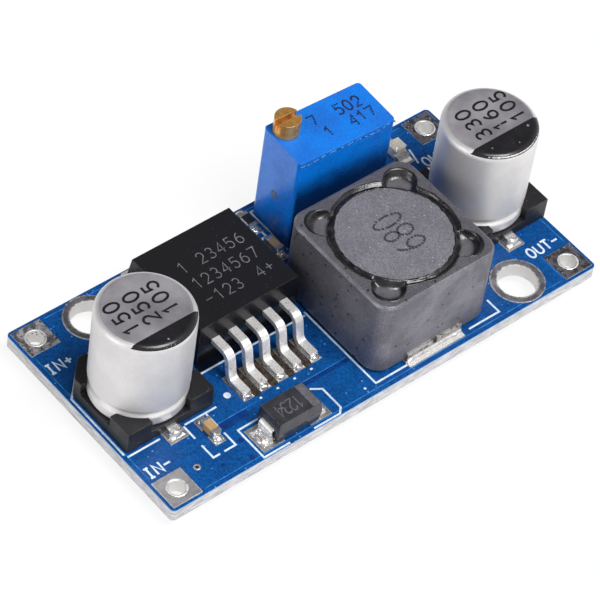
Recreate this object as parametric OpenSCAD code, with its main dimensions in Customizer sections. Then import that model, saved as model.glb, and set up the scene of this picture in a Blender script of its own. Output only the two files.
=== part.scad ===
// Step-down (buck) converter module: a small circuit board that carries its switching regulator,
// power inductor, diode, two electrolytic capacitors, adjusting trimmer, indicator and chip parts.
// Lengths are in millimetres. The origin is the centre of the board's underside. +X runs from the
// input end to the output end, +Y from the negative pads to the positive pads, and +Z is the side
// that carries the components.

/* [Circuit board] */
// Length of the board, from the input end to the output end
board_length = 43.6; // [42.8:0.1:46]
// Width of the board
board_width = 21.1; // [20.7:0.1:24]
// Thickness of the laminate with its solder mask
board_thickness = 1.2; // [0.8:0.1:1.6]
// Radius of the board's corners
board_corner_radius = 0.4; // [0.1:0.1:1.2]
// Thickness of the plated copper on the board and in its holes
plating_thickness = 0.06; // [0.03:0.01:0.1]
// Radius of the two fixing holes, inside their plating
fixing_hole_radius = 1.7; // [1.2:0.1:1.8]
// Width of the plated ring around a fixing hole
fixing_ring_width = 0.6; // [0.3:0.05:0.6]
// Distance from the board's side to a fixing hole's centre
fixing_hole_side_distance = 2.4; // [2.35:0.05:2.7]
// Radius of a terminal hole, inside its plating
terminal_hole_radius = 0.7; // [0.4:0.05:1]
// Side of the square land around a terminal hole
terminal_land_side = 2.8; // [2.2:0.1:3.2]
// Distance from a terminal land to the board's edges
terminal_land_edge_gap = 0.25; // [0.1:0.05:0.6]

/* [Capacitors] */
// Diameter of a capacitor's can
can_diameter = 8; // [7:0.1:8.2]
// Height of a capacitor above the board's lands
capacitor_height = 10.1; // [7.7:0.1:12]
// Side of a capacitor's square base
capacitor_base_side = 8.3; // [8.3:0.1:8.6]
// Thickness of the base under the can
capacitor_base_floor = 0.9; // [0.6:0.1:1.4]
// Height of the base's corner walls
capacitor_base_height = 2.1; // [1.6:0.1:3]
// Length of a corner wall along each side of the base
capacitor_wall_length = 2.3; // [1.6:0.1:2.8]
// Length of the chamfer on the base's two positive corners
capacitor_base_chamfer = 1.5; // [0.8:0.1:2]
// Radius of the can's top shoulder
can_shoulder_radius = 0.6; // [0.3:0.1:1]
// Height of the middle of the can's rolled groove above its seat
can_groove_height = 1.35; // [1.2:0.05:1.8]
// Length of the can's rolled groove along its side
can_groove_length = 0.9; // [0.6:0.1:1]
// Depth of the can's rolled groove
can_groove_depth = 0.3; // [0.1:0.05:0.5]
// Radius of the rim under the groove
can_rim_radius = 0.3; // [0.1:0.05:0.4]
// Clearance between the can and the base's corner walls
can_clearance = 0.05; // [0.02:0.01:0.2]
// Width of a capacitor's flat lead
capacitor_lead_width = 0.9; // [0.6:0.1:1.2]
// Thickness of a capacitor's flat lead
capacitor_lead_thickness = 0.3; // [0.2:0.05:0.4]
// How far a capacitor's lead reaches past its base
capacitor_lead_reach = 0.6; // [0.3:0.1:0.8]

/* [Regulator] */
// Width of the regulator's body at its parting line
regulator_width = 10.1; // [9.4:0.1:10.6]
// Length of the regulator's body at its parting line
regulator_length = 9.05; // [8.4:0.05:9.2]
// Height of the regulator's body
regulator_height = 4.5; // [4:0.1:5]
// Height of the body's parting line
regulator_parting_height = 2.6; // [2.2:0.1:3]
// Slope of the body's moulded faces, in degrees
mould_draft = 6; // [2:1:8]
// Thickness of the regulator's metal tab
tab_thickness = 1.27; // [0.8:0.01:1.4]
// How far the tab stands out behind the body
tab_reach = 1.25; // [0.8:0.05:1.6]
// Distance between the middles of neighbouring leads
lead_pitch = 1.7; // [1.5:0.05:1.75]
// Width of a lead
lead_width = 0.75; // [0.5:0.05:0.9]
// Thickness of a lead
lead_thickness = 0.45; // [0.3:0.05:0.55]
// Level run of a lead before its first bend
lead_run = 1.25; // [0.8:0.05:1.4]
// Radius of a lead's bends, at the middle of its thickness
lead_bend_radius = 0.7; // [0.4:0.05:0.8]
// Slope of a lead between its bends, in degrees
lead_slope = 78; // [60:1:85]
// Level length of a lead's foot
lead_foot = 1.3; // [0.8:0.1:1.4]

/* [Inductor] */
// Side of the inductor's square ferrite shield
inductor_side = 12.03; // [11:0.01:12.4]
// Height of the inductor
inductor_height = 7.65; // [6:0.05:9]
// Radius of the shield's upright corners
shield_corner_radius = 1.5; // [1:0.1:2]
// Chamfer round the shield's top
shield_chamfer = 0.2; // [0.1:0.05:0.4]
// Radius of the shield's round bore
shield_bore_radius = 5.35; // [5.2:0.05:5.45]
// Radius of the round bay in each corner of the bore
shield_bay_radius = 1.35; // [1:0.05:1.4]
// Distance from the inductor's middle to a bay's centre, along each side
shield_bay_offset = 3.9; // [3.7:0.1:4]
// Radius of the drum core's flanges
core_flange_radius = 4.85; // [4.6:0.05:4.95]
// Thickness of each flange of the drum core
core_flange_thickness = 1.2; // [0.8:0.1:1.6]
// Radius of the drum core's middle
core_post_radius = 2.3; // [1.8:0.1:2.8]
// Diameter of the winding's wire
wire_diameter = 0.6; // [0.4:0.05:0.8]
// How far the core and the adhesive lie below the shield's top
core_recess = 0.08; // [0.02:0.02:0.2]
// Depth of adhesive in the gap round the core
adhesive_depth = 1; // [0.4:0.1:1.1]
// Width of a terminal plate
inductor_terminal_width = 5.6; // [4.4:0.1:6]
// Thickness of a terminal plate
inductor_terminal_thickness = 0.25; // [0.15:0.05:0.3]
// Height of a terminal's upturned tongues
inductor_tongue_height = 0.95; // [0.6:0.05:1.2]

/* [Trimmer] */
// Length of the trimmer's housing
trimmer_length = 9.53; // [9.4:0.01:10]
// Depth of the trimmer's housing
trimmer_depth = 4.83; // [4.8:0.01:5.2]
// Height of the trimmer's housing above the board
trimmer_height = 10.1; // [9.9:0.1:11]
// Turn of the hand-fitted trimmer on the board, in degrees
trimmer_turn = -2.5; // [-4:0.5:2]
// Thickness of the housing's walls
trimmer_wall = 0.45; // [0.3:0.05:0.45]
// Thickness of the housing's top
trimmer_top = 1.3; // [1:0.1:1.4]
// Height of the feet that hold the housing off the board
trimmer_foot = 0.25; // [0.1:0.05:0.4]
// Distance from the screw's axis to the housing's two nearest faces
screw_edge_distance = 1.27; // [1.25:0.01:1.4]
// Diameter of the screw's head
screw_head_diameter = 2.19; // [1.8:0.01:2.3]
// Height of the screw's head above the housing
screw_head_height = 1.5; // [1:0.1:2]
// Width of the screw's slot
screw_slot_width = 0.5; // [0.3:0.05:0.6]
// Depth of the screw's slot
screw_slot_depth = 0.8; // [0.4:0.1:0.9]
// Radius of the screw's plain shank
screw_shank_radius = 0.55; // [0.5:0.01:0.6]
// Thickness of the screw's retaining collar, under the housing's top
screw_collar_thickness = 0.4; // [0.3:0.05:0.6]
// Running clearance round the shank and the wheel's pivot
running_clearance = 0.05; // [0.02:0.01:0.08]
// Radius of the worm's twisted round bar
worm_bar_radius = 0.56; // [0.5:0.01:0.6]
// Offset of the bar from the screw's axis, which makes the thread
worm_offset = 0.16; // [0.12:0.01:0.18]
// Distance from one turn of the worm to the next
thread_spacing = 0.6; // [0.5:0.01:0.62]
// Turns of thread on the worm
worm_turns = 7; // [5:1:8]
// Teeth of the wheel that the worm drives
wheel_teeth = 32; // [28:1:33]
// Thickness of the wheel's toothed rim
wheel_rim_thickness = 0.5; // [0.3:0.05:0.55]
// Height of the wheel's axis above the board
wheel_height = 4.7; // [4.6:0.1:4.9]
// Radius of the pivot that the wheel turns on
pivot_radius = 0.6; // [0.4:0.05:0.8]
// Distance between neighbouring pins
pin_pitch = 2.54; // [2:0.01:2.6]
// Diameter of a pin
pin_diameter = 0.5; // [0.4:0.05:0.6]
// How far the pins stand out below the board
pin_reach = 1; // [0.6:0.1:1.4]
// Radius of a pin's hole in the board, inside its plating
pin_hole_radius = 0.45; // [0.4:0.05:0.5]

/* [Diode and chip parts] */
// Length of the diode's body
diode_length = 4.3; // [4:0.1:4.6]
// Width of the diode's body
diode_width = 2.65; // [2.3:0.05:2.8]
// Height of the diode above its lands
diode_height = 2.25; // [1.9:0.05:2.5]
// Width of the diode's leads
diode_lead_width = 1.45; // [1.1:0.05:1.7]
// Thickness of the diode's leads
diode_lead_thickness = 0.2; // [0.1:0.05:0.25]
// Length of a chip capacitor or resistor
chip_length = 1.6; // [1.4:0.1:1.8]
// Width of a chip capacitor or resistor
chip_width = 0.8; // [0.7:0.05:0.9]
// Height of a chip capacitor
chip_capacitor_height = 0.8; // [0.5:0.05:0.9]
// Height of a chip resistor
chip_resistor_height = 0.5; // [0.4:0.05:0.6]
// Length of the metal end of a chip part
chip_end_length = 0.32; // [0.2:0.02:0.4]
// Length of the indicator
indicator_length = 2; // [1.8:0.1:2.2]
// Width of the indicator
indicator_width = 1.25; // [1:0.05:1.4]
// Height of the indicator
indicator_height = 0.95; // [0.7:0.05:1.2]

/* [Layout] */
// The gaps of a row or column keep their proportions, and share the length that its parts leave free.

// Gap between the board's input end and the input capacitor's base
input_capacitor_end_gap = 0.55; // [0.3:0.05:0.6]
// Gap between the input capacitor's base and the regulator
regulator_gap = 1.1; // [0.6:0.1:1.4]
// Gap between the regulator and the inductor
inductor_gap = 0.85; // [0.5:0.05:1.2]
// Gap between the inductor and the output capacitor's base
output_capacitor_gap = 2.37; // [1.5:0.01:3]
// Gap between the output capacitor's base and the board's output end
output_capacitor_end_gap = 0; // [0:0.05:0.3]
// Gap between the board's front edge and the inductor
inductor_front_gap = 1.27; // [1.2:0.01:1.4]
// Gap between the inductor and the trimmer
trimmer_front_gap = 1.89; // [1.6:0.01:2.4]
// Gap between the trimmer and the board's back edge
trimmer_back_gap = 1.08; // [0.9:0.02:1.4]
// Gap between the board's front edge and the diode
diode_front_gap = 0.4; // [0.3:0.05:0.6]
// Gap between the diode and the regulator's leads
diode_back_gap = 2.61; // [2:0.01:3]
// Gap between the regulator's tab and the board's back edge
regulator_back_gap = 0.95; // [0.7:0.05:1.2]
// Gap between the regulator and the column of feedback chips
feedback_gap = 2.5; // [1.2:0.1:2.6]
// Gap between the feedback chips and the trimmer
trimmer_gap = 0.47; // [0.4:0.01:0.8]
// Gap between the trimmer and the indicator's resistor
indicator_resistor_gap = 2; // [1.6:0.1:2.6]
// Gap between the indicator's resistor and the indicator
indicator_gap = 1.3; // [1:0.1:1.6]
// Gap between the indicator and the positive output land
indicator_land_gap = 1.85; // [1.4:0.05:2]
// Distance from the regulator's middle to the diode's middle, toward the input end
diode_shift = 2.4; // [2:0.1:2.8]
// Distance from the input capacitor's middle to its neighbouring chip capacitor's middle
input_chip_shift = 2.4; // [2:0.1:2.8]

/* [Hidden] */
$fn = 64;
arc_steps = 6;
cut = 0.1;

land_top = board_thickness + plating_thickness;
solder_share = 0.8;

function total(list) = list * [for (entry = list) 1];

// What the gaps of a row are multiplied by, so that its parts and gaps fill the row's length.
function gap_factor(length, parts, gaps) = (length - total(parts)) / total(gaps);

// Capacitors.
can_radius = can_diameter / 2;
can_height = capacitor_height - capacitor_base_floor;
capacitor_lead_start = 1;
capacitor_lead_end = capacitor_base_side / 2 + capacitor_lead_reach;
capacitor_land_side = 0.425;
capacitor_land_margin = 0.7;
capacitor_solder_side = 0.3;
capacitor_solder_rise = 0.25;

// Regulator.
tab_inset = 0.1;
tab_width = regulator_width - 2 * tab_inset;
tab_notch = 0.6;
tab_buried_length = 6.6;
tab_land_side = 0.15;
tab_land_margin = 0.4;
lead_count = 5;
lead_height = regulator_parting_height;
lead_buried_length = 1;
lead_land_side = 0.15;
lead_land_margin = 0.45;
lead_heel_margin = 1.1;
lead_drop = lead_height - lead_thickness / 2;
lead_slope_length =
  (lead_drop - 2 * lead_bend_radius * (1 - cos(lead_slope))) / sin(lead_slope);
lead_foot_start = lead_run + 2 * lead_bend_radius * sin(lead_slope) + lead_slope_length * cos(lead_slope);
lead_end = lead_foot_start + lead_foot;

// Inductor.
inductor_seat = inductor_terminal_thickness;
shield_height = inductor_height - inductor_seat;
core_height = shield_height - core_recess;
winding_height = core_height - 2 * core_flange_thickness;
winding_turns = floor(winding_height / wire_diameter);
winding_layers = 3;
terminal_inner_length = 3.2;
tongue_gap = 0.55;
tongue_width = (inductor_terminal_width - tongue_gap) / 2;
inductor_land_side = 0.1;
inductor_land_margin = 0.55;
inductor_solder_height = 0.45;

// Diode.
diode_lift = 0.25;
diode_parting_height = (diode_lift + diode_height) / 2;
diode_lead_radius = 0.2;
diode_lead_gap = 0.05;
diode_lead_buried_length = 0.5;
diode_foot = 1.2;
diode_land_inset = 0.1;
diode_land_margin = 0.9;
diode_solder_side = 0.2;
diode_solder_height = 0.7;

// Trimmer, in its own frame: origin at the middle of its footprint on the board.
screw_x = -trimmer_length / 2 + screw_edge_distance;
screw_y = trimmer_depth / 2 - screw_edge_distance;
trimmer_ceiling = trimmer_height - trimmer_top;
worm_length = worm_turns * thread_spacing;
worm_bottom = wheel_height - worm_length / 2;
worm_root = worm_bar_radius - worm_offset;
worm_crest = worm_bar_radius + worm_offset;
worm_slices = 10;
worm_sides = 16;
screw_tip_length = 0.4;
mesh_clearance = 0.05;
wheel_pitch_radius = wheel_teeth * thread_spacing / 360 * 180 / PI;
wheel_x = screw_x + wheel_pitch_radius + worm_bar_radius;
wheel_tip_radius = wheel_x - screw_x - worm_root - mesh_clearance;
wheel_root_radius = wheel_x - screw_x - worm_crest - mesh_clearance;
tooth_root_half = 0.36 * thread_spacing;
tooth_tip_half = 0.06 * thread_spacing;
hub_radius = 1.5;
hub_length = 0.6;
collar_clearance = 0.07;
collar_radius = screw_edge_distance - trimmer_wall - collar_clearance;
trimmer_corner_radius = 0.36;
trimmer_foot_length = 1;
seal_ring_width = 0.35;
seal_ring_thickness = 0.5;
trimmer_inside = [trimmer_length, trimmer_depth] - 2 * [trimmer_wall, trimmer_wall];
wheel_back_y = screw_y + wheel_rim_thickness / 2;
wheel_thickness = wheel_rim_thickness + hub_length;
element_thickness = 0.6;
element_y = -1;
element_clearance = 0.2;
element_bottom = 1.5;
element_top = 8.3;
track_radius = 2.4;
track_width = 0.7;
track_thickness = 0.04;
track_open_angle = 80;
wiper_thickness = 0.15;
wiper_gap = 0.06;
wiper_angle = 60;
finger_width = 0.3;
potting_bottom = 0.5;
potting_top = 1.3;
pin_land_radius = 0.85;
solder_cone_height = 0.7;
solder_cone_tip_radius = 0.3;
solder_cone_radius = 0.75;
pin_places = [for (i = [-1, 0, 1]) [i * pin_pitch, element_y]];

// Chip parts. They lie along Y.
chip_land_side = 0.1;
chip_land_margin = 0.6;
chip_land_inner = 0.45;
chip_land_gap = 0.5;
chip_edge_gap = 0.2;
chip_skin = 0.03;
chip_solder_height = 0.35;
film_thickness = 0.04;
indicator_base_height = 0.4;
indicator_end_length = 0.4;
indicator_inset = 0.75;
lens_corner_radius = 0.25;

// The row of large parts, from the input end to the output end.
row_factor = gap_factor(
  board_length,
  [capacitor_base_side, regulator_width, inductor_side, capacitor_base_side],
  [input_capacitor_end_gap, regulator_gap, inductor_gap, output_capacitor_gap, output_capacitor_end_gap]
);
input_capacitor_x = -board_length / 2 + row_factor * input_capacitor_end_gap + capacitor_base_side / 2;
regulator_x = input_capacitor_x + (capacitor_base_side + regulator_width) / 2 + row_factor * regulator_gap;
inductor_x = regulator_x + (regulator_width + inductor_side) / 2 + row_factor * inductor_gap;
output_capacitor_x =
  inductor_x + (inductor_side + capacitor_base_side) / 2 + row_factor * output_capacitor_gap;

// The column of the inductor and the trimmer, from the front edge to the back edge.
trimmer_column_factor = gap_factor(
  board_width, [inductor_side, trimmer_depth], [inductor_front_gap, trimmer_front_gap, trimmer_back_gap]);
inductor_y = -board_width / 2 + trimmer_column_factor * inductor_front_gap + inductor_side / 2;
trimmer_y = board_width / 2 - trimmer_column_factor * trimmer_back_gap - trimmer_depth / 2;

// The column of the diode and the regulator, from the front edge to the back edge.
regulator_column_factor = gap_factor(
  board_width, [diode_width, lead_end, regulator_length, tab_reach],
  [diode_front_gap, diode_back_gap, regulator_back_gap]);
diode_x = regulator_x - diode_shift;
diode_y = -board_width / 2 + regulator_column_factor * diode_front_gap + diode_width / 2;
regulator_y = board_width / 2 - regulator_column_factor * regulator_back_gap - tab_reach - regulator_length;

// Terminal lands in the four corners. Two fixing holes in opposite corners: one lies midway between
// a land and the regulator, and the other is its half turn about the board's middle.
terminal_x = board_length / 2 - terminal_land_edge_gap - terminal_land_side / 2;
terminal_y = board_width / 2 - terminal_land_edge_gap - terminal_land_side / 2;
fixing_x = (terminal_x - terminal_land_side / 2 - regulator_x + regulator_width / 2) / 2;
fixing_y = board_width / 2 - fixing_hole_side_distance;
fixing_places = [[fixing_x, -fixing_y], [-fixing_x, fixing_y]];

// The back row, from the regulator to the positive output land.
back_row_factor = gap_factor(
  terminal_x - terminal_land_side / 2 - regulator_x - regulator_width / 2,
  [chip_width, trimmer_length, chip_width, indicator_width],
  [feedback_gap, trimmer_gap, indicator_resistor_gap, indicator_gap, indicator_land_gap]
);
feedback_x = regulator_x + (regulator_width + chip_width) / 2 + back_row_factor * feedback_gap;
trimmer_x = feedback_x + (chip_width + trimmer_length) / 2 + back_row_factor * trimmer_gap;
indicator_resistor_x =
  trimmer_x + (trimmer_length + chip_width) / 2 + back_row_factor * indicator_resistor_gap;
indicator_x = indicator_resistor_x + (chip_width + indicator_width) / 2 + back_row_factor * indicator_gap;
indicator_y = terminal_y - indicator_inset;
feedback_resistor_y = (board_width - chip_length) / 2 - chip_land_margin - chip_edge_gap;
feedback_capacitor_y = feedback_resistor_y - chip_length - 2 * chip_land_margin - chip_land_gap;
input_chip_x = input_capacitor_x + input_chip_shift;
input_chip_y = -(capacitor_base_side + chip_length) / 2 - chip_land_gap - chip_land_margin;
chip_places = [
  [input_chip_x, input_chip_y, chip_length, chip_width],
  [feedback_x, feedback_capacitor_y, chip_length, chip_width],
  [feedback_x, feedback_resistor_y, chip_length, chip_width],
  [indicator_resistor_x, indicator_y, chip_length, chip_width],
  [indicator_x, indicator_y, indicator_length, indicator_width],
];

// Points of an arc, from one angle to another.
function arc(centre, radius, from, to, steps = arc_steps) = [
  for (i = [0:steps]) let (a = from + (to - from) * i / steps)
    centre + radius * [cos(a), sin(a)]
];

// A rounded rectangle about the origin.
module rounded_rectangle(length, width, radius) {
  square([length - 2 * radius, width], center = true);
  square([length, width - 2 * radius], center = true);
  for (x = [-1, 1], y = [-1, 1])
    translate([x * (length / 2 - radius), y * (width / 2 - radius)]) circle(radius);
}

// A block standing on the plane z = 0 with its middle at the origin.
module block(size) translate([-size.x / 2, -size.y / 2, 0]) cube(size);

// A plated hole through the board, with the given outline as its land on each side.
module plated_hole(radius) difference() {
  union() {
    for (z = [-plating_thickness, board_thickness])
      translate([0, 0, z]) linear_extrude(plating_thickness) children();
    cylinder(h = board_thickness, r = radius + plating_thickness);
  }
  translate([0, 0, -cut])
    cylinder(h = land_top + 2 * cut, r = radius);
}

// What is drilled out of the board for one hole.
module drill(radius) translate([0, 0, -cut]) cylinder(h = board_thickness + 2 * cut, r = radius);

// Side view of solder that has wetted up round a foot: full height over the foot, then hollow
// flanks out to the edge of the land.
module solder_profile(length, reach, height) {
  flank = [for (i = [0:arc_steps]) let (a = 90 * i / arc_steps)
    [length / 2 + reach * (1 - sin(a)), height * (1 - cos(a))]];
  polygon(concat(flank, [for (i = [arc_steps:-1:0]) [-flank[i].x, flank[i].y]]));
}

// Solder round a foot that lies along Y, before the foot is taken out of it.
module solder_mound(length, width, end_reach, side_reach, height) intersection() {
  rotate([90, 0, 90])
    linear_extrude(width + 2 * side_reach, center = true) solder_profile(length, end_reach, height);
  rotate([90, 0, 0])
    linear_extrude(length + 2 * end_reach, center = true) solder_profile(width, side_reach, height);
}

// A moulded body with sloping faces above and below its parting line, standing on z = base.
module moulded_body(length, width, base, parting, top) {
  function section(size) = [
    [-size / 2 + (parting - base) * tan(mould_draft), base], [-size / 2, parting],
    [-size / 2 + (top - parting) * tan(mould_draft), top],
    [size / 2 - (top - parting) * tan(mould_draft), top], [size / 2, parting],
    [size / 2 - (parting - base) * tan(mould_draft), base]
  ];
  intersection() {
    rotate([90, 0, 0]) linear_extrude(width, center = true) polygon(section(length));
    rotate([90, 0, 90]) linear_extrude(length, center = true) polygon(section(width));
  }
}

module at_terminal(side_x, side_y) translate([side_x * terminal_x, side_y * terminal_y, 0]) children();
module at_input_capacitor() translate([input_capacitor_x, 0, land_top]) children();
module at_output_capacitor() translate([output_capacitor_x, 0, land_top]) children();
module at_regulator() translate([regulator_x, regulator_y, land_top]) children();
module at_inductor() translate([inductor_x, inductor_y, land_top]) children();
module at_diode() translate([diode_x, diode_y, land_top]) children();
module at_trimmer_footprint() translate([trimmer_x, trimmer_y, 0]) rotate(trimmer_turn) children();
module at_trimmer() translate([0, 0, board_thickness]) at_trimmer_footprint() children();
module at_chip(place) translate([place[0], place[1], land_top]) children();

// ---- Board ----

module circuit_board() color("#0b4a96") difference() {
  linear_extrude(board_thickness) rounded_rectangle(board_length, board_width, board_corner_radius);
  for (x = [-1, 1], y = [-1, 1]) at_terminal(x, y) drill(terminal_hole_radius + plating_thickness);
  for (place = fixing_places) translate(place) drill(fixing_hole_radius + plating_thickness);
  at_trimmer_footprint()
    for (place = pin_places) translate(place) drill(pin_hole_radius + plating_thickness);
}

module fixing_hole_rings() color("#c9c8c2")
  for (place = fixing_places)
    translate(place) plated_hole(fixing_hole_radius) circle(fixing_hole_radius + fixing_ring_width);

module terminal_pad(side_x, side_y) color("#c4c3be")
  at_terminal(side_x, side_y)
    plated_hole(terminal_hole_radius) square(terminal_land_side, center = true);

module input_positive_pad() terminal_pad(-1, 1);
module input_negative_pad() terminal_pad(-1, -1);
module output_positive_pad() terminal_pad(1, 1);
module output_negative_pad() terminal_pad(1, -1);

module trimmer_pin_lands() color("#c4c3be")
  at_trimmer_footprint()
    for (place = pin_places) translate(place) plated_hole(pin_hole_radius) circle(pin_land_radius);

// One land under a component, from its middle.
module land(length, width) translate([0, 0, -plating_thickness]) block([length, width, plating_thickness]);

module capacitor_lands() {
  land_length = capacitor_lead_end + capacitor_land_margin - capacitor_lead_start;
  for (side = [-1, 1])
    translate([0, side * (capacitor_lead_start + land_length / 2), 0])
      land(capacitor_lead_width + 2 * capacitor_land_side, land_length);
}

module regulator_lands() {
  tab_land_length = tab_buried_length + tab_reach + tab_land_margin;
  translate([0, regulator_length + tab_reach + tab_land_margin - tab_land_length / 2, 0])
    land(tab_width + 2 * tab_land_side, tab_land_length);
  lead_land_length = lead_foot + lead_land_margin + lead_heel_margin;
  at_each_lead() translate([0, -lead_end - lead_land_margin + lead_land_length / 2, 0])
    land(lead_width + 2 * lead_land_side, lead_land_length);
}

module inductor_lands()
  for (side = [-1, 1])
    translate([0, side * (inductor_side / 2 + inductor_land_margin + inductor_terminal_thickness
                          - (terminal_inner_length + inductor_land_margin) / 2), 0])
      land(inductor_terminal_width + 2 * inductor_land_side, terminal_inner_length + inductor_land_margin);

module diode_lands() {
  land_length = diode_foot + diode_land_margin;
  for (side = [-1, 1])
    translate([side * (diode_length / 2 + diode_lead_gap + diode_lead_radius + diode_lead_thickness / 2
                       + diode_land_margin - land_length / 2), 0, 0])
      land(land_length, diode_width - 2 * diode_land_inset);
}

module chip_lands(length, width) {
  land_length = chip_land_margin + chip_land_inner;
  for (side = [-1, 1])
    translate([0, side * (length / 2 + chip_land_margin - land_length / 2), 0])
      land(width + 2 * chip_land_side, land_length);
}

module component_lands() color("#b9b8b3") {
  at_input_capacitor() capacitor_lands();
  at_output_capacitor() capacitor_lands();
  at_regulator() regulator_lands();
  at_inductor() inductor_lands();
  at_diode() diode_lands();
  for (place = chip_places) at_chip(place) chip_lands(place[2], place[3]);
}

// ---- Electrolytic capacitors ----

// Half section of the can: rolled rim, rolled groove, straight side and rounded shoulder.
function can_section() = concat(
  [[0, 0]],
  arc([can_radius - can_rim_radius, can_rim_radius], can_rim_radius, -90, 0),
  [for (i = [0:2 * arc_steps]) let (t = i / (2 * arc_steps))
    [can_radius - can_groove_depth * (1 - cos(360 * t)) / 2,
     can_groove_height + can_groove_length * (t - 0.5)]],
  arc([can_radius - can_shoulder_radius, can_height - can_shoulder_radius],
      can_shoulder_radius, 0, 90),
  [[0, can_height]]
);

module capacitor_can() color("#cfd0d2")
  translate([0, 0, capacitor_base_floor]) rotate_extrude() polygon(can_section());

// Outline of the base, with its two positive corners cut off.
module capacitor_base_outline() {
  half = capacitor_base_side / 2;
  inner = half - capacitor_base_chamfer;
  polygon([[-half, -half], [half, -half], [half, inner], [inner, half], [-inner, half], [-half, inner]]);
}

// One of the two flat leads: it comes down through the base and runs out under it.
module capacitor_lead() {
  length = capacitor_lead_end - capacitor_lead_start;
  translate([0, capacitor_lead_start + length / 2, 0])
    block([capacitor_lead_width, length, capacitor_lead_thickness]);
  translate([0, capacitor_lead_start + capacitor_lead_thickness, 0])
    block([capacitor_lead_width, 2 * capacitor_lead_thickness, capacitor_base_floor]);
}

module capacitor_leads() color("#c8c9cc") {
  capacitor_lead();
  rotate(180) capacitor_lead();
}

module capacitor_base() color("#26272b") difference() {
  union() {
    linear_extrude(capacitor_base_floor) capacitor_base_outline();
    linear_extrude(capacitor_base_height) intersection() {
      capacitor_base_outline();
      for (x = [-1, 1], y = [-1, 1])
        translate([x, y] * (capacitor_base_side - capacitor_wall_length) / 2)
          square(capacitor_wall_length, center = true);
    }
  }
  translate([0, 0, capacitor_base_floor])
    cylinder(h = capacitor_base_height, r = can_radius + can_clearance);
  capacitor_leads();
}

module input_capacitor_can() at_input_capacitor() capacitor_can();
module input_capacitor_base() at_input_capacitor() capacitor_base();
module input_capacitor_leads() at_input_capacitor() capacitor_leads();
module output_capacitor_can() at_output_capacitor() capacitor_can();
module output_capacitor_base() at_output_capacitor() capacitor_base();
module output_capacitor_leads() at_output_capacitor() capacitor_leads();

// Solder on the end of each capacitor lead, from the base's side outward.
module capacitor_joint() difference() {
  translate([0, capacitor_lead_end - capacitor_lead_reach / 2, 0])
    solder_mound(capacitor_lead_reach, capacitor_lead_width, capacitor_land_margin * solder_share,
                 capacitor_solder_side, capacitor_lead_thickness + capacitor_solder_rise);
  capacitor_lead();
  block([capacitor_base_side, capacitor_base_side, capacitor_base_height]);
}

module capacitor_solder() color("#d4d5d6") {
  at_input_capacitor() for (turn = [0, 180]) rotate(turn) capacitor_joint();
  at_output_capacitor() for (turn = [0, 180]) rotate(turn) capacitor_joint();
}

// ---- Regulator ----

// Side view of one gull-wing lead, running out along +X from the body's front face.
module gull_wing_profile() {
  outer = lead_bend_radius + lead_thickness / 2;
  inner = lead_bend_radius - lead_thickness / 2;
  upper_centre = [lead_run, lead_height - lead_bend_radius];
  lower_centre = [lead_foot_start, lead_thickness / 2 + lead_bend_radius];
  polygon(concat(
    [[-lead_buried_length, lead_height + lead_thickness / 2]],
    arc(upper_centre, outer, 90, 90 - lead_slope),
    arc(lower_centre, inner, 270 - lead_slope, 270),
    [[lead_end, lead_thickness], [lead_end, 0]],
    arc(lower_centre, outer, 270, 270 - lead_slope),
    arc(upper_centre, inner, 90 - lead_slope, 90),
    [[-lead_buried_length, lead_height - lead_thickness / 2]]
  ));
}

module at_each_lead()
  for (i = [0:lead_count - 1])
    translate([(i - (lead_count - 1) / 2) * lead_pitch, 0, 0]) children();

module regulator_lead_shape()
  rotate([90, 0, -90]) linear_extrude(lead_width, center = true) gull_wing_profile();

module regulator_leads() color("#cdced0") at_regulator() at_each_lead() regulator_lead_shape();

// The tab: a flat plate with a notch in each rear corner, partly moulded into the body.
module regulator_tab_shape() {
  length = tab_buried_length + tab_reach;
  translate([0, regulator_length + tab_reach - length / 2, 0]) difference() {
    block([tab_width, length, tab_thickness]);
    for (side = [-1, 1])
      translate([side * tab_width / 2, length / 2, -cut])
        rotate(45) translate([-tab_notch, -tab_notch, 0] / 2)
          cube([tab_notch, tab_notch, tab_thickness + 2 * cut]);
  }
}

module regulator_tab() color("#bdbebf") at_regulator() regulator_tab_shape();

module regulator_body() color("#1c1c20") at_regulator() difference() {
  translate([0, regulator_length / 2, 0])
    moulded_body(regulator_width, regulator_length, 0, regulator_parting_height, regulator_height);
  regulator_tab_shape();
  at_each_lead() regulator_lead_shape();
}

module regulator_solder() color("#d4d5d6") at_regulator() {
  at_each_lead() difference() {
    translate([0, -lead_end + lead_foot / 2, 0])
      solder_mound(lead_foot, lead_width, lead_land_margin, lead_land_side, lead_thickness * 0.75);
    regulator_lead_shape();
  }
  difference() {
    translate([0, regulator_length + tab_reach / 2, 0])
      solder_mound(tab_reach, tab_width, tab_land_margin, tab_land_side, tab_thickness / 2);
    regulator_tab_shape();
    translate([0, regulator_length / 2, 0])
      block([2 * regulator_width, regulator_length, regulator_height]);
  }
}

// ---- Inductor ----

// The shield's outside: straight sides and round corners, all with a chamfer at the top.
module shield_outside() {
  flat = inductor_side - 2 * shield_corner_radius;
  half = inductor_side / 2;
  shoulder = shield_height - shield_chamfer;
  for (turn = [0, 90])
    rotate([90, 0, turn]) linear_extrude(flat, center = true)
      polygon([[-half, 0], [half, 0], [half, shoulder], [half - shield_chamfer, shield_height],
               [shield_chamfer - half, shield_height], [-half, shoulder]]);
  for (x = [-1, 1], y = [-1, 1]) translate([x * flat / 2, y * flat / 2, 0]) {
    cylinder(h = shoulder, r = shield_corner_radius);
    translate([0, 0, shoulder])
      cylinder(h = shield_chamfer, r1 = shield_corner_radius, r2 = shield_corner_radius - shield_chamfer);
  }
}

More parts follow.
